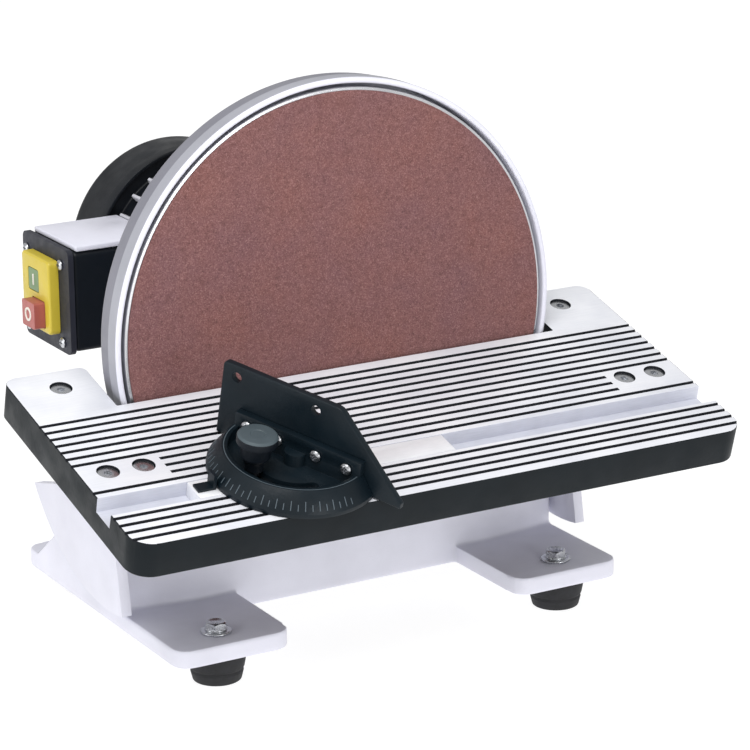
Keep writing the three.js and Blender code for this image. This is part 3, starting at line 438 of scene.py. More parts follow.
def prism(points, low, high, soft=0.0, soft_low=None, segments=3):
    """An outline raised from low to high, with its two rims rounded by soft and soft_low."""
    bm = bmesh.new()
    base = [bm.verts.new((x, y, low)) for x, y in points]
    top = [bm.verts.new((x, y, high)) for x, y in points]
    bm.faces.new(base)
    bm.faces.new(top)
    for i in range(len(points)):
        j = (i + 1) % len(points)
        bm.faces.new((base[i], base[j], top[j], top[i]))
    bmesh.ops.recalc_face_normals(bm, faces=bm.faces)
    for rim, width in ((top, soft), (base, soft if soft_low is None else soft_low)):
        if width > 0:
            edges = [e for e in bm.edges if all(vert in rim for vert in e.verts)]
            height = high if rim is top else low
            edges = [e for e in edges if all(abs(vert.co.z - height) < 1e-6 for vert in e.verts)]
            bmesh.ops.bevel(bm, geom=edges, offset=width, segments=segments, profile=0.5,
                            affect="EDGES", clamp_overlap=True)
    return tidy(bm)


def block(x0, x1, y0, y1, z0, z1, corner=0.6, soft=0.6, segments=3):
    """A box between two corners, rounded in plan by corner and along its rims by soft."""
    xs, ys, zs = sorted((x0, x1)), sorted((y0, y1)), sorted((z0, z1))
    plan = [(xs[0], ys[0], corner), (xs[1], ys[0], corner), (xs[1], ys[1], corner),
            (xs[0], ys[1], corner)]
    return prism(rounded(plan), *zs, soft=soft, segments=segments)


def rod(radius, low, high, soft=0.4, segments=SMALL):
    return turned([(0, low), (radius, low, soft), (radius, high, soft), (0, high)], segments, steps=3)


def moved(bm, matrix):
    bm.transform(matrix)
    return bm


def shifted(bm, x=0.0, y=0.0, z=0.0):
    return moved(bm, Matrix.Translation((x, y, z)))


def as_object(bm, name="tool"):
    mesh = bpy.data.meshes.new(name)
    bm.to_mesh(mesh)
    bm.free()
    made = bpy.data.objects.new(name, mesh)
    bpy.context.scene.collection.objects.link(made)
    return made


def merged(*parts):
    """Several meshes as one, without joining their surfaces."""
    whole = bmesh.new()
    for part in parts:
        mesh = bpy.data.meshes.new("part")
        part.to_mesh(mesh)
        part.free()
        whole.from_mesh(mesh)
        bpy.data.meshes.remove(mesh)
    return whole


def carved(body, tool, operation="DIFFERENCE"):
    """body with tool cut away, added or kept in common. Both meshes are used up."""
    target, cutter = as_object(body), as_object(tool)
    modifier = target.modifiers.new("carve", "BOOLEAN")
    modifier.operation = operation
    modifier.solver = "MANIFOLD"
    modifier.object = cutter
    bpy.context.view_layer.update()
    result = bmesh.new()
    result.from_object(target, bpy.context.evaluated_depsgraph_get())
    for done in (target, cutter):
        mesh = done.data
        bpy.data.objects.remove(done)
        bpy.data.meshes.remove(mesh)
    bmesh.ops.remove_doubles(result, verts=result.verts, dist=1e-3)
    return result


def joined(*parts):
    whole = parts[0]
    for part in parts[1:]:
        whole = carved(whole, part, "UNION")
    return whole


def of_node(name):
    """A copy of a CAD node's solid in row millimetres, with its flat faces whole again."""
    bm = bmesh.new()
    bm.from_mesh(NODES[name].data)
    bm.transform(Matrix.Scale(1 / MM, 4))
    bmesh.ops.remove_doubles(bm, verts=bm.verts, dist=1e-3)
    bmesh.ops.dissolve_limit(bm, angle_limit=math.radians(1), verts=bm.verts, edges=bm.edges)
    return bm


def softened(bm, width, segments=2, over=math.radians(28)):
    """Rounds every edge that turns by more than the given angle."""
    edges = [e for e in bm.edges if len(e.link_faces) == 2 and e.calc_face_angle(0) > over]
    bmesh.ops.bevel(bm, geom=edges, offset=width, segments=segments, profile=0.5,
                    affect="EDGES", clamp_overlap=True, miter_outer="ARC")
    return tidy(bm)


def cast(bm, voxel, passes, keep):
    """The surface of a sand casting: corners rounded, inner corners filleted, faces kept flat."""
    made = as_object(bm)
    remesh = made.modifiers.new("remesh", "REMESH")
    remesh.mode = "VOXEL"
    remesh.voxel_size = voxel
    smooth = made.modifiers.new("smooth", "SMOOTH")
    smooth.factor = 0.5
    smooth.iterations = passes
    reduce = made.modifiers.new("reduce", "DECIMATE")
    reduce.ratio = keep
    bpy.context.view_layer.update()
    result = bmesh.new()
    result.from_object(made, bpy.context.evaluated_depsgraph_get())
    mesh = made.data
    bpy.data.objects.remove(made)
    bpy.data.meshes.remove(mesh)
    return result


IN_ROW = SCALE


def piece(name, bm, place, body, look, node=None, zones=None):
    """Finishes a mesh as a named piece that rides on a body and stands for its CAD node.

    zones is an optional function that gives each face's index into a list of looks.
    """
    bm.transform(place)
    if place.determinant() < 0:
        bmesh.ops.reverse_faces(bm, faces=bm.faces)
    made = as_object(bm, name)
    mesh = made.data
    looks = [look] if isinstance(look, str) else look
    for each in looks:
        mesh.materials.append(LOOKS[each])
    if zones is not None:
        inverse = place.inverted()
        turn = inverse.to_3x3().normalized()
        for face in mesh.polygons:
            face.material_index = zones(inverse @ face.center, (turn @ face.normal).normalized())
    mesh.shade_smooth()
    mesh.set_sharp_from_angle(angle=SHARP_ANGLE)
    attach(made, body)
    node = name if node is None else node
    if node in NODES:
        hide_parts(node)
    return made


def dress(name, look, soft_mm=0.0):
    """Gives a CAD node that stays its finish, and rounds its edges a little."""
    node = NODES[name]
    node.data.materials.clear()
    node.data.materials.append(LOOKS[look])
    if soft_mm > 0:
        flat = node.modifiers.new("whole_faces", "DECIMATE")
        flat.decimate_type = "DISSOLVE"
        flat.angle_limit = math.radians(1)
        bevel = node.modifiers.new("edges", "BEVEL")
        bevel.width = soft_mm * MM
        bevel.segments = 2
        bevel.limit_method = "ANGLE"
        bevel.angle_limit = SHARP_ANGLE


# ---- the disc and what turns with it --------------------------------------------------------


def make_disc():
    sheet = turned([
        (0, 0), (ABRASIVE_RADIUS, 0, 0.3), (ABRASIVE_RADIUS, ABRASIVE_THICKNESS, 0.1),
        (0, ABRASIVE_THICKNESS),
    ], FINE)
    piece("abrasive_sheet", moved(sheet, ALONG_Y), SHAFT, "disc", "abrasive", "abrasive_disc")
    face = ABRASIVE_THICKNESS + GAP
    plate = turned([
        (0, face), (PLATE_RADIUS, face, 0.5), (PLATE_RADIUS, 9, 0.8), (120, 9, 0.5), (118, 8, 0.5),
        (60, 8, 0.5), (58, 9, 0.5), (30, 9, 2), (26, 12, 1), (26, 24, 0.8), (HUB_BORE, 24, 0.5),
        (HUB_BORE, 5.5), (0, 5.5),
    ], FINE, steps=3)
    grub = moved(rod(2.6, 22, 27, 0.3, 24), ALONG_X)
    plate = carved(moved(plate, ALONG_Y), shifted(grub, y=18))
    piece("disc_plate_turned", plate, SHAFT, "disc", "disc_aluminium", "disc_plate")
    dress("motor_shaft", "bearing_steel", 0.5)
    dress("rotor_core", "core_steel", 0.5)
    make_fan()


def make_fan():
    back = SHAFT_END - 2
    front = back - FAN_DEPTH
    hub = turned([(HUB_BORE, front, 0.4), (18, front, 1), (18, back, 1), (HUB_BORE, back, 0.4)],
                 ROUND, True)
    plate = turned([(16.9, front, 0.2), (FAN_RADIUS, front, 1), (FAN_RADIUS, front + 2.5, 1),
                    (16.9, front + 2.5, 0.2)], ROUND, True, 3)
    fan = joined(hub, plate)
    for i in range(FAN_BLADES):
        blade = prism(rounded([(17.4, -1.2, 0.4), (FAN_RADIUS, -1.2, 0.8), (FAN_RADIUS, 1.2, 0.8),
                               (17.4, 1.2, 0.4)]), front + 2, back, 0.5, 0.1)
        fan = carved(fan, moved(blade, Matrix.Rotation(math.tau * i / FAN_BLADES, 4, "Z")), "UNION")
    # the blades stand at the same angles as the hub's six flats
    fan = moved(fan, ALONG_Y @ Matrix.Rotation(math.pi / 2, 4, "Z"))
    piece("cooling_fan_moulded", fan, SHAFT, "disc", "black_plastic", "cooling_fan")


# ---- the housing round the disc -------------------------------------------------------------


def guard_zone(place, normal):
    """White lip and bore, a lighter band round the rim's bead, and the darker drum behind it."""
    outer = math.hypot(place.x, place.z) > GUARD_BORE + 1
    if not outer or place.y < 1.6:
        return 0 if place.y < GUARD_BACK - 1 else 2
    return 1 if place.y < 12.6 else 2


def make_guard():
    drum = turned([
        (62, 23, 0.4), (GUARD_BORE, 23, 3), (GUARD_BORE, 0, 1.6), (GUARD_RADIUS, 0, 2.2),
        (GUARD_RADIUS, 12, 0.4), (GUARD_RADIUS - 1, 13, 0.3), (GUARD_RADIUS - 1, GUARD_BACK, 3.5),
        (132, GUARD_BACK, 0.8), (130, 26, 0.8), (122, 26, 0.8), (120, GUARD_BACK, 0.8),
        (80, GUARD_BACK, 0.8), (78.5, 26.2, 0.6), (62, 26.2, 0.6),
    ], FINE, True, 5)
    drum = moved(drum, ALONG_Y)
    hole = moved(rod(PORT_BORE, 15, 35, 0), Matrix.Translation((PORT_X, 0, PORT_Z)) @ ALONG_Y)
    drum = carved(drum, hole)
    piece("disc_guard_shell", drum, SHAFT, "stand", ["cast_paint", "rim_paint", "motor_paint"], "disc_guard",
          guard_zone)


def make_port():
    front = GUARD_BACK + GAP
    waist = PORT_RADIUS - 1.1
    barbs = []
    for back in (PORT_BACK - 4, PORT_BACK - 14, PORT_BACK - 24):
        barbs += [(PORT_RADIUS, back, 0.4), (waist, back - 1.2, 0.3), (waist, back - 7)]
    flange = PORT_RADIUS + 6
    profile = [(PORT_BORE, front, 0.3), (flange, front, 0.6), (flange, front + 3, 1),
               (PORT_RADIUS, front + 3, 2)]
    profile += barbs[::-1] + [(PORT_RADIUS - 0.4, PORT_BACK, 0.8), (PORT_BORE, PORT_BACK, 0.6)]
    tube = turned(profile, ROUND, True, 3)
    place = SHAFT @ Matrix.Translation((PORT_X, 0, PORT_Z)) @ ALONG_Y
    piece("dust_port_moulded", tube, place, "stand", "black_plastic", "dust_port")


# ---- the motor ------------------------------------------------------------------------------


def make_motor():
    front, spigot = MOTOR_FRONT, MOTOR_BORE - GAP
    front_dish = turned([
        (29, front, 0.5), (70, front, 0.8), (70, front + 8, 2), (spigot, front + 8, 0.3),
        (spigot, front + 24, 0.5), (20.3, front + 24, 0.5), (20.3, front + 12), (10.5, front + 12, 0.3),
        (10.5, front + 6, 0.5), (29, front + 6, 1.5),
    ], ROUND, True, 3)
    piece("motor_front_shield_cast", moved(front_dish, ALONG_Y), SHAFT, "stand", "motor_paint",
          "motor_front_shield")
    make_motor_body()
    seat = MOTOR_REAR + GAP
    rear = turned([
        (20.3, seat - 8, 0.4), (spigot, seat - 8, 0.4), (spigot, seat), (64, seat, 0.6),
        (65, seat + 4.2, 1.5),
        (75.2, seat + 4.2, 0.3), (75.2, seat + 7, 0.6), (10.5, seat + 7, 0.6), (10.5, seat + 4, 0.3),
        (20.3, seat + 4),
    ], ROUND, True, 3)
    # the rear shield is black to paint the shade in the gap between the fan cowl and the guard
    piece("motor_rear_shield_cast", moved(rear, ALONG_Y), SHAFT, "stand", "black_enamel",
          "motor_rear_shield")
    for name in ("front_bearing", "rear_bearing"):
        dress(name, "bearing_steel", 0.6)
    dress("stator_core", "core_steel", 0.6)
    dress("run_capacitor", "bar_aluminium", 0.8)
    make_cowl()


def make_motor_body():
    front = MOTOR_FRONT + 8 + GAP
    shell = turned([(MOTOR_BORE, front, 0.3), (MOTOR_SHELL, front, 1), (MOTOR_SHELL, MOTOR_REAR, 1),
                    (MOTOR_BORE, MOTOR_REAR, 0.3)], FINE, True, 3)
    fins = []
    for i in range(FIN_COUNT):
        side = rounded([(MOTOR_SHELL - 1, -1.9), (MOTOR_SHELL + 0.5, -1.7, 0.8), (FIN_TIP, -1.1, 0.8),
                        (FIN_TIP, 1.1, 0.8), (MOTOR_SHELL + 0.5, 1.7, 0.8), (MOTOR_SHELL - 1, 1.9)], steps=3)
        fin = prism(side, front + 4, MOTOR_REAR - 6, 0.5, segments=2)
        fins.append(moved(fin, Matrix.Rotation(math.tau * (i + 0.5) / FIN_COUNT, 4, "Z")))
    body = carved(shell, merged(*fins), "UNION")
    # fins run along the shaft, so turning the shape to +Y leaves them at the same angles
    # the housing's two zones paint light and shade: a painted highlight on the fins, painted shade on the
    # shell between them
    piece("motor_housing_finned", moved(body, ALONG_Y), SHAFT, "stand", ["fin_painted_highlight", "black_enamel"],
          "motor_housing", fin_highlight_and_shade_zone)


def fin_highlight_and_shade_zone(place, normal):
    """Fins in a light grey that paints a highlight on them, the shell between them in black that paints the
    shade there.
    """
    return 0 if math.hypot(place.x, place.z) > MOTOR_SHELL + 1.6 else 1


def capsule(length_low, length_high, half_width):
    """A slot with round ends along +Y."""
    lower = arc(half_width, 180, 360, 8, (0, length_low + half_width))
    upper = arc(half_width, 0, 180, 8, (0, length_high - half_width))
    return lower + upper


def make_cowl():
    front = MOTOR_REAR + GAP
    inner, sunk = COWL_RADIUS - 2.5, COWL_BACK - 0.9
    cup = turned([
        (0, COWL_BACK - 2.5), (inner - 9, COWL_BACK - 2.5, 9), (inner, COWL_BACK - 12, 9),
        (inner, front, 0.5), (COWL_RADIUS, front, 0.8), (COWL_RADIUS, front + 9, 0.4),
        (COWL_RADIUS - 0.7, front + 9.8, 0.4), (COWL_RADIUS - 0.7, COWL_BACK - 9, 9),
        (COWL_RADIUS - 9, COWL_BACK, 8), (64, COWL_BACK, 0.8), (63, sunk, 0.8), (20, sunk, 0.8),
        (19, COWL_BACK, 0.8), (0, COWL_BACK),
    ], FINE, steps=6)
    slots = []
    for i in range(COWL_SLOTS):
        slot = prism(capsule(24, 60, 4), COWL_BACK - 8, COWL_BACK + 4)
        slots.append(moved(slot, Matrix.Rotation(math.tau * i / COWL_SLOTS, 4, "Z")))
    cup = carved(cup, merged(*slots))
    piece("fan_cowl_pressed", moved(cup, ALONG_Y), SHAFT, "stand", "black_enamel", "fan_cowl")


# ---- the stand ------------------------------------------------------------------------------


def make_stand():
    frame_casting = cast(of_node("base_frame"), 1.4, 4, 0.2)
    piece("base_casting", frame_casting, IN_ROW, "stand", "cast_paint", "base_frame")
    cradle = cast(of_node("motor_foot"), 1.4, 4, 0.3)
    piece("motor_cradle", cradle, IN_ROW, "stand", "cast_paint", "motor_foot")
    for name in sorted(NODES):
        if name.startswith("foot_bolt_"):
            make_foot_bolt(name)
        elif name.startswith("foot_"):
            make_foot(name)


def node_axis(name):
    """The middle of a node in plan, in shaft millimetres."""
    low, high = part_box(name)
    return SHAFT.inverted() @ Vector(((low.x + high.x) / 2, (low.y + high.y) / 2, low.z))


def make_foot(name):
    place = node_axis(name)
    top = BASE_BOTTOM - GAP
    foot = turned([
        (0, -200), (7, -200), (8, -198.6, 0.6), (11, -198.6, 0.6), (12, -200, 0.5), (15.5, -200, 1.2),
        (17, -194, 0.8), (16.4, -192.4, 0.5), (17.6, -191, 0.5), (19.5, top, 1.2), (4.6, top, 0.3),
        (4.6, top - 12), (0, top - 12),
    ], ROUND, steps=3)
    piece(f"rubber_{name}", foot, SHAFT @ Matrix.Translation((place.x, place.y, 0)), "stand", "foot_rubber",
          name)


def hexagon(radius):
    angles = (math.tau * i / 6 for i in range(6))
    return [(radius * math.cos(a), radius * math.sin(a)) for a in angles]


def hex_head(radius, low, high):
    """A bolt head with the chamfered corners that turning leaves."""
    head = prism(hexagon(radius), low, high)
    dome = turned([(0, low - 1), (radius + 1, low - 1), (radius + 1, high - 1.6), (radius - 1.4, high, 0.8),
                   (radius - 2.6, high), (radius - 3.1, high - 0.3), (0, high - 0.3)], SMALL, steps=3)
    return carved(head, dome, "INTERSECT")


def make_foot_bolt(name):
    place = node_axis(name)
    seat = EAR_TOP + GAP
    washer = turned([(4.2, seat), (10, seat, 0.3), (10, seat + 1.3, 0.5), (4.2, seat + 1.3)], SMALL, True, 3)
    spring = turned([(4.2, seat + 1.25), (6.9, seat + 1.25, 0.3), (6.9, seat + 2.6, 0.3), (4.2, seat + 2.6)],
                    SMALL, True, 3)
    shank = rod(4, BASE_BOTTOM - 11, seat + 3, 0.6)
    bolt = joined(hex_head(7.2, seat + 2.5, seat + 7), shank, washer, spring)
    piece(f"hex_{name}", bolt, SHAFT @ Matrix.Translation((place.x, place.y, 0)), "stand", "zinc_steel",
          name)


# ---- the switch -----------------------------------------------------------------------------


def box_prism(y_range, z_range, low, high, corner, soft, soft_low=0.0, grow=0.0):
    """A rounded slab with its outline across Y and Z, raised along X."""
    (y0, y1), (z0, z1) = y_range, z_range
    plan = [(y0 - grow, z0 - grow, corner), (y1 + grow, z0 - grow, corner), (y1 + grow, z1 + grow, corner),
            (y0 - grow, z1 + grow, corner)]
    return moved(prism(rounded(plan, steps=6), low, high, soft, soft_low), FLAT_X)


def cross_head(radius, rise):
    """A pan screw head pointing along -X, with a cross recess."""
    head = turned([(0, 0), (radius, 0, 0.2), (radius, rise * 0.5, 0.8), (radius * 0.6, rise, 1.2), (0, rise)],
                  SMALL, steps=4)
    arm = radius * 0.62
    width = radius * 0.13
    level = block(-arm, arm, -width, width, rise * 0.35, rise + 1, 0.1, 0)
    upright = block(-width, width, -arm, arm, rise * 0.35, rise + 1, 0.1, 0)
    return carved(carved(head, level), upright)


TO_LEFT = Matrix.Rotation(-math.pi / 2, 4, "Y")     # turns a shape's +Z to point along -X


def make_switch():
    outer = box_prism(BOX_Y, BOX_Z, BOX_FACE, BOX_INNER, 4, 0.0, 3.0)
    hollow = box_prism(BOX_Y, BOX_Z, BOX_FACE - 1, BOX_INNER - 3, 3, 0, grow=-3)
    entry = moved(rod(7, BOX_Y[1] - 5, BOX_Y[1] + 2, 0), ALONG_Y)
    body = carved(carved(outer, hollow), shifted(entry, GLAND_X, 0, GLAND_Z))
    piece("switch_box_moulded", body, SHAFT, "stand", "black_plastic", "switch_box")
    make_cover()
    make_switch_body()
    bracket = softened(of_node("switch_bracket"), 0.9)
    piece("switch_bracket_folded", bracket, IN_ROW, "stand", "cast_paint", "switch_bracket")
    make_gland()


def make_cover():
    back = BOX_FACE - GAP
    cover = box_prism(BOX_Y, BOX_Z, COVER_FRONT, back, 5, 0.3, 1.4, grow=1.5)
    window = box_prism(SWITCH_Y, SWITCH_Z, COVER_FRONT - 2, back + 2, 1.5, 0, grow=-3)
    cover = carved(cover, window)
    for dy, dz in COVER_SCREWS:
        bore = moved(rod(2.3, -COVER_FRONT - 6, -COVER_FRONT + 2, 0), TO_LEFT)
        cover = carved(cover, shifted(bore, y=BOX_CENTRE + dy, z=dz))
    piece("switch_cover_moulded", cover, SHAFT, "stand", "grey_plastic", "switch_cover")
    for number, (dy, dz) in enumerate(COVER_SCREWS, 1):
        seat = -COVER_FRONT + GAP
        head = shifted(cross_head(3.6, 2), z=seat)
        shank = rod(1.9, -BOX_FACE - 12, seat + 0.6, 0.3, 24)
        screw = moved(joined(head, shank), TO_LEFT)
        place = SHAFT @ Matrix.Translation((0, BOX_CENTRE + dy, dz))
        piece(f"pan_cover_screw_{number}", screw, place, "stand", "zinc_steel", f"cover_screw_{number}")


def make_switch_body():
    seat = COVER_FRONT - GAP
    body = box_prism(SWITCH_Y, SWITCH_Z, SWITCH_FACE, seat, 3.5, 0.4, 1.6)
    back = box_prism(SWITCH_Y, SWITCH_Z, seat - 2, BOX_FACE + 20, 1, 0.6, grow=-3.5)
    body = joined(body, back)
    for y_range, z_range in ((START_Y, START_Z), (STOP_Y, STOP_Z)):
        well = box_prism(y_range, z_range, SWITCH_FACE - 2, BOX_FACE + 12, 1.8, 0, grow=0.5)
        body = carved(body, well)
    piece("switch_plate_moulded", body, SHAFT, "stand", "yellow_plastic", "switch_plate")
    make_button("start", START_Y, START_Z, START_RISE, "green_plastic")
    make_button("stop", STOP_Y, STOP_Z, STOP_RISE, "red_plastic")


def make_button(name, y_range, z_range, rise, look):
    """A rounded key with a raised mark: a bar to start, a ring to stop."""
    face = SWITCH_FACE - rise
    key = box_prism(y_range, z_range, face + 0.6, BOX_FACE + 6, 1.5, 0.3, 1.2)
    centre_y, centre_z = sum(y_range) / 2, sum(z_range) / 2
    piece(f"{name}_key", key, SHAFT, f"{name}_key", look, f"{name}_button")
    low, high = -face - 1.2, -face
    if name == "start":
        mark = prism(capsule(-4, 4, 0.8), low, high, 0.25)
    else:
        mark = turned([(3.2, low), (3.2, high, 0.25), (4.8, high, 0.25), (4.8, low)], SMALL, True, 2)
    facing = TO_LEFT @ Matrix.Rotation(math.pi / 2, 4, "Z")
    place = SHAFT @ Matrix.Translation((0, centre_y, centre_z)) @ facing
    piece(f"{name}_mark", mark, place, f"{name}_key", "switch_white")


def make_gland():
    seat = BOX_Y[1] + GAP
    nut = hex_head(11, seat, seat + 8)
    dome = turned([(0, seat + 7), (8.5, seat + 7, 0.5), (8.5, seat + 13, 1), (6.5, seat + 16, 1),
                   (0, seat + 16)], SMALL)
    thread = rod(6.5, BOX_Y[1] - 5, seat + 1, 0.5)
    bore = rod(3.8, BOX_Y[1] - 10, seat + 20, 0)
    gland = carved(joined(nut, dome, thread), bore)
    place = SHAFT @ Matrix.Translation((GLAND_X, 0, GLAND_Z)) @ ALONG_Y
    piece("cable_gland_moulded", gland, place, "stand", "black_plastic", "cable_gland")


# ---- the work table -------------------------------------------------------------------------


def table_outline(inset=0.0, notch_inset=0.0):
    half, notch = TABLE_HALF - inset, NOTCH_HALF + notch_inset
    front, back = -TABLE_DEPTH + inset, TABLE_EAR - inset
    corners = [(half, front, 16 - inset), (half, back, 9 - inset), (notch, back, 5 - notch_inset)]
    corners.append((notch, -notch_inset, 1))
    left = [(-x, y, r) for x, y, r in reversed(corners)]
    return rounded(corners + left, steps=8)


def groove_cutter(v, reach, width, depth):
    """A long cutter whose lips are broken by a small chamfer."""
    half = width / 2
    section = [(-half - 0.3, 0.8), (-half - 0.25, 0.02), (-half, -0.25), (-half + 0.3, -depth)]
    section += [(-x, y) for x, y in reversed(section)]
    bar = prism(section, -reach, reach)
    return shifted(moved(bar, FLAT_X), y=-v)


def groove_rows():
    """Distance of each groove from the disc, and how far it reaches from the middle."""
    rows = []
    for i in range(GROOVES_BEHIND_SLOT):
        rows.append((FIRST_GROOVE + i * GROOVE_PITCH, PAD_INNER if i in PAD_ROWS else TABLE_HALF + 5))
    for i in range(GROOVES_BEFORE_SLOT):
        rows.append((SLOT_CENTRE + SLOT_WIDTH / 2 + SLOT_LAND + i * GROOVE_PITCH, TABLE_HALF + 5))
    return rows


def table_screw_places():
    places = {}
    for hand, side in (("left", -1), ("right", 1)):
        for number, (x, y) in enumerate(TABLE_SCREWS, 1):
            places[f"table_screw_{hand}_{number}"] = (side * x, y)
    return places


def table_zone(place, normal):
    """Ground top, painted groove, slot floor or painted rim, by where a face lies."""
    inside = abs(place.x) < TABLE_HALF - 0.6 and place.y > -TABLE_DEPTH + 0.6
    if place.z > -0.3 and normal.z > 0.9 and inside:
        return 0
    in_slot = abs(place.y + SLOT_CENTRE) < SLOT_WIDTH / 2 + 0.4 and place.z > -SLOT_DEPTH - 0.1
    if in_slot and abs(place.x) < TABLE_HALF - 0.2 and place.z < -0.01:
        return 2
    if place.z > -GROOVE_DEPTH - 0.1 and inside:
        return 1
    return 3


def make_table():
    body = prism(table_outline(), -TABLE_RIM, 0, 0.5, 1.8)
    deep = TABLE_RIM + 1
    wedge = prism([(0.5, -2.5), (0.5, -deep), (2.5 - deep, -deep), (0, -2.5)], -NOTCH_HALF, NOTCH_HALF)
    body = carved(body, moved(wedge, FLAT_X))
    pocket = prism(table_outline(6, 4), -deep, -TABLE_SKIN, 2)
    rib_reach = TABLE_HALF - 4
    rib = block(-rib_reach, rib_reach, -SLOT_CENTRE - 17, -SLOT_CENTRE + 17, -16, -TABLE_SKIN + 1, 0.2, 0)
    body = carved(carved(body, pocket), rib, "UNION")
    slot = groove_cutter(SLOT_CENTRE, TABLE_HALF + 5, SLOT_WIDTH, SLOT_DEPTH)
    grooves = [groove_cutter(v, reach, GROOVE_WIDTH, GROOVE_DEPTH) for v, reach in groove_rows()]
    sinks = []
    for x, y in table_screw_places().values():
        sink = turned([(0, -12), (3.4, -12), (3.4, -5.2), (7.2, -1.4), (7.4, 1), (0, 1)], SMALL)
        sinks.append(shifted(sink, x, y))
    body = carved(body, merged(slot, *grooves, *sinks))
    looks = ["table_top", "groove_paint", "slot_floor", "table_paint"]
    piece("table_casting", body, TABLE, "work_table", looks, "table_top", table_zone)
    for name, (x, y) in table_screw_places().items():
        make_table_screw(name, x, y)
    make_trunnions()


def make_table_screw(name, x, y):
    """A countersunk screw with a hexagon socket."""
    screw = turned([(0, -21), (2.4, -21), (3, -20.2), (3, -5.2, 0.4), (6.6, -1.6, 0.2),
                    (6.6, -1.2, 0.15), (0, -1.2)], SMALL, steps=2)
    socket = prism(hexagon(2.9), -3.4, 1)
    screw = carved(screw, socket)
    piece(f"socket_{name}", screw, TABLE @ Matrix.Translation((x, y, 0)), "work_table", "zinc_steel", name)


def make_trunnions():
    for name in ("trunnion_left", "trunnion_right"):
        plate = softened(of_node(name), 0.6)
        piece(f"{name}_plate", plate, IN_ROW, "work_table", "cast_paint", name)


# ---- the tilt lock --------------------------------------------------------------------------


def lobed(radius, swing, lobes, steps):
    points = []
    for i in range(steps):
        angle = math.tau * i / steps
        reach = radius + swing * math.cos(lobes * angle)
        points.append((reach * math.cos(angle), reach * math.sin(angle)))
    return points


def make_tilt_lock():
    low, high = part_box("tilt_lock_knob")
    back = (low.x - JOINTS["tilt_knob_turn"]["pos_m"][0]) / MM
    collar = turned([(0, back), (10, back, 0.8), (10, back + 8), (0, back + 8)], SMALL)
    grip = prism(lobed(17, 2.5, 5, 120), back + 7, back + 24, 3, 1.5, 5)
    knob = joined(collar, grip)
    bore = rod(4.3, back - 1, back + 21, 0)
    knob = moved(carved(knob, bore), ALONG_X)
    piece("tilt_lock_knob_moulded", knob, TILT_LOCK, "tilt_knob", "black_plastic", "tilt_lock_knob")
    dress("tilt_stud", "zinc_steel", 0.5)
    dress("tilt_guide_pin", "zinc_steel", 0.5)
    dress("tilt_pointer", "zinc_steel", 0.3)


# ---- the mitre gauge ------------------------------------------------------------------------


def make_mitre():
    bar = softened(of_node("mitre_bar"), 0.5)
    piece("mitre_bar_drawn", bar, IN_ROW, "mitre_slide_bar", "bar_aluminium", "mitre_bar")
    dress("mitre_pivot_screw", "zinc_steel", 0.4)
    dress("mitre_pointer", "mitre_enamel", 0.3)
    make_head()
    make_fence()
    make_mitre_knob()


def make_head():
    head = softened(of_node("mitre_head"), 0.7)
    piece("mitre_head_cast", head, IN_ROW, "mitre_gauge", "mitre_enamel", "mitre_head")
    make_scale()


def make_scale():
    """Raised graduations on the head's sloping scale band, longer at every tenth degree."""
    rise, run = HEAD_RING_TOP - HEAD_EDGE, HEAD_RADIUS - HEAD_RING
    rim = Matrix.Translation((-HEAD_RADIUS, 0, HEAD_EDGE))
    slope = rim @ Matrix.Rotation(-math.atan2(rise, run), 4, "Y")
    marks = []
    for degrees in range(-75, 80, 5):
        length = 6 if degrees % 10 == 0 else 4
        mark = block(2.2, 2.2 + length, -0.28, 0.28, -0.3, 0.15, 0.1, 0.05, 1)
        marks.append(moved(mark, Matrix.Rotation(math.radians(degrees), 4, "Z") @ slope))
    inner, outer = HEAD_RING - 1.5, HEAD_RING - 0.9
    low_z, high_z = HEAD_RING_TOP - 0.3, HEAD_RING_TOP + 0.1
    ring = turned([(inner, low_z), (outer, low_z), (outer, high_z), (inner, high_z)], FINE, True)
    half = block(-60, 0, -60, 60, 0, 30, 0, 0)
    marks.append(carved(ring, half, "INTERSECT"))
    piece("mitre_scale_marks", merged(*marks), SWING, "mitre_gauge", "scale_white")


def make_fence():
    back = FENCE_FACE - FENCE_THICKNESS
    side = rounded([(61, FENCE_LOW, 1), (61, FENCE_HIGH, 2.5), (-24, FENCE_HIGH, 8),
                    (-73, FENCE_LOW + 3, 1), (-73, FENCE_LOW)], steps=6)
    plate = moved(prism(side, back, FENCE_FACE, 0.8), FLAT_X)
    holes = []
    for y, z in FENCE_HOLES:
        hole = turned([(0, 0), (4.6, 0), (3.2, back + 1.2), (3.2, 9.8), (4.6, 12), (0, 12)], SMALL)
        holes.append(shifted(moved(hole, ALONG_X), y=y, z=z))
    for y, z in FENCE_SCREWS:
        holes.append(shifted(moved(rod(2.2, 0, 9.5, 0, 24), ALONG_X), y=y, z=z))
    plate = carved(plate, merged(*holes))
    piece("mitre_fence_plate", plate, SWING, "mitre_gauge", "mitre_enamel", "mitre_fence")
    for number, (y, z) in enumerate(FENCE_SCREWS, 1):
        seat = back - 5.6
        head = shifted(cross_head(3.8, 2.4), z=-seat)
        shank = rod(1.8, -9, -seat + 0.6, 0.3, 24)
        screw = moved(joined(head, shank), TO_LEFT)
        piece(f"pan_fence_screw_{number}", screw, SWING @ Matrix.Translation((0, y, z)), "mitre_gauge",
              "zinc_steel", f"fence_screw_{number}")


def knob_zone(place, normal):
    """Paler plastic on the upward-facing faces at the top, black on the grip below."""
    return 0 if place.z > 30 and normal.z > 0.6 else 1


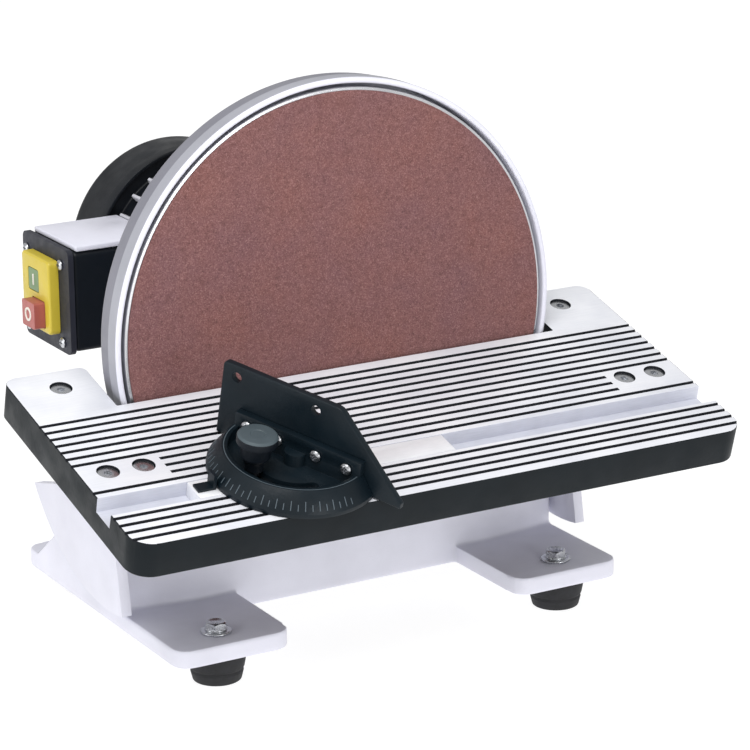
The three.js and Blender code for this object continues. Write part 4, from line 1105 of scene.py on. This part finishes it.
def make_mitre_knob():
    stud = rod(3, -8.5, 9, 0.5, 32)
    foot = HEAD_FLOOR + GAP
    grip = turned([
        (0, foot), (6, foot, 0.5), (6, 13, 1), (9.5, 17, 2), (9.5, 25, 1), (12.9, 26.5, 0.6),
        (12.9, 31, 1), (11.5, 32.5, 0.8), (5, 32.5, 0.3), (4.6, 32.1, 0.3), (0, 32.1),
    ], ROUND, steps=4)
    knob = joined(grip, stud)
    piece("mitre_knob_moulded", knob, LOCK, "mitre_lock", ["knob_plastic", "black_plastic"], "mitre_knob",
          knob_zone)


# ---- camera, floor and light ----------------------------------------------------------------

CAMERA_FROM_DISC = Vector((-0.9574, -1.7199, 0.5527))
CAMERA_AZIMUTH, CAMERA_ELEVATION = math.radians(29.75), math.radians(16.66)
CAMERA_ROLL = math.radians(-0.61)
CAMERA_LENS, CAMERA_SENSOR = 150.73, 36


def make_camera():
    camera = bpy.data.objects.new("camera", bpy.data.cameras.new("camera"))
    camera.data.lens = CAMERA_LENS
    camera.data.sensor_width = CAMERA_SENSOR
    ahead = Vector((math.sin(CAMERA_AZIMUTH) * math.cos(CAMERA_ELEVATION),
                    math.cos(CAMERA_AZIMUTH) * math.cos(CAMERA_ELEVATION), -math.sin(CAMERA_ELEVATION)))
    right = Vector((math.cos(CAMERA_AZIMUTH), -math.sin(CAMERA_AZIMUTH), 0))
    up = right.cross(ahead)
    turn = Matrix.Rotation(-CAMERA_ROLL, 3, ahead)
    right, up = turn @ right, turn @ up
    axes = Matrix((right, up, -ahead)).transposed()
    place = Vector(JOINTS["disc_spin"]["pos_m"]) + CAMERA_FROM_DISC
    camera.matrix_world = Matrix.Translation(place) @ axes.to_4x4()
    bpy.context.scene.collection.objects.link(camera)
    bpy.context.scene.camera = camera


def make_light(name, place, target, size, power):
    data = bpy.data.lights.new(name, "AREA")
    data.energy = power
    data.size = size
    light = bpy.data.objects.new(name, data)
    light.location = place
    light.rotation_euler = (Vector(target) - Vector(place)).to_track_quat("-Z", "Y").to_euler()
    bpy.context.scene.collection.objects.link(light)


def make_studio():
    floor = bmesh.new()
    bmesh.ops.create_grid(floor, x_segments=2, y_segments=2, size=12)
    ground = as_object(floor, "studio_floor")
    pale = Finish("studio_floor", 0.9, Emission_Strength=0.88, Specular_IOR_Level=0.1)
    pale.shader.inputs["Emission Color"].default_value = (1, 1, 1, 1)
    pale.color(pale.ramp(pale.noise(400, 2), ((0.3, srgb(138, 138, 138)), (0.7, srgb(142, 142, 142)))))
    ground.data.materials.append(pale.material)
    world = bpy.data.worlds.new("studio")
    world.use_nodes = True
    background = world.node_tree.nodes["Background"]
    background.inputs["Color"].default_value = (1, 1, 1, 1)
    background.inputs["Strength"].default_value = 0.55
    to_camera = world.node_tree.nodes.new("ShaderNodeBackground")
    path = world.node_tree.nodes.new("ShaderNodeLightPath")
    mix = world.node_tree.nodes.new("ShaderNodeMixShader")
    links = world.node_tree.links
    to_camera.inputs["Color"].default_value = (1, 1, 1, 1)
    links.new(path.outputs["Is Camera Ray"], mix.inputs[0])
    links.new(background.outputs[0], mix.inputs[1])
    links.new(to_camera.outputs[0], mix.inputs[2])
    links.new(mix.outputs[0], world.node_tree.nodes["World Output"].inputs["Surface"])
    bpy.context.scene.world = world
    bpy.context.scene.view_settings.view_transform = "Standard"
    middle = (0, 0, 0.15)
    make_light("key", (-0.9, -1.1, 2.2), middle, 1.6, 40)
    make_light("left_fill", (-2.2, 0.1, 0.5), middle, 1.2, 8)
    make_light("front_fill", (0.4, -2.4, 0.25), (0, -0.1, 0.05), 0.9, 13)


make_camera()
make_studio()
make_disc()
make_guard()
make_port()
make_motor()
make_stand()
make_switch()
make_table()
make_tilt_lock()
make_mitre()
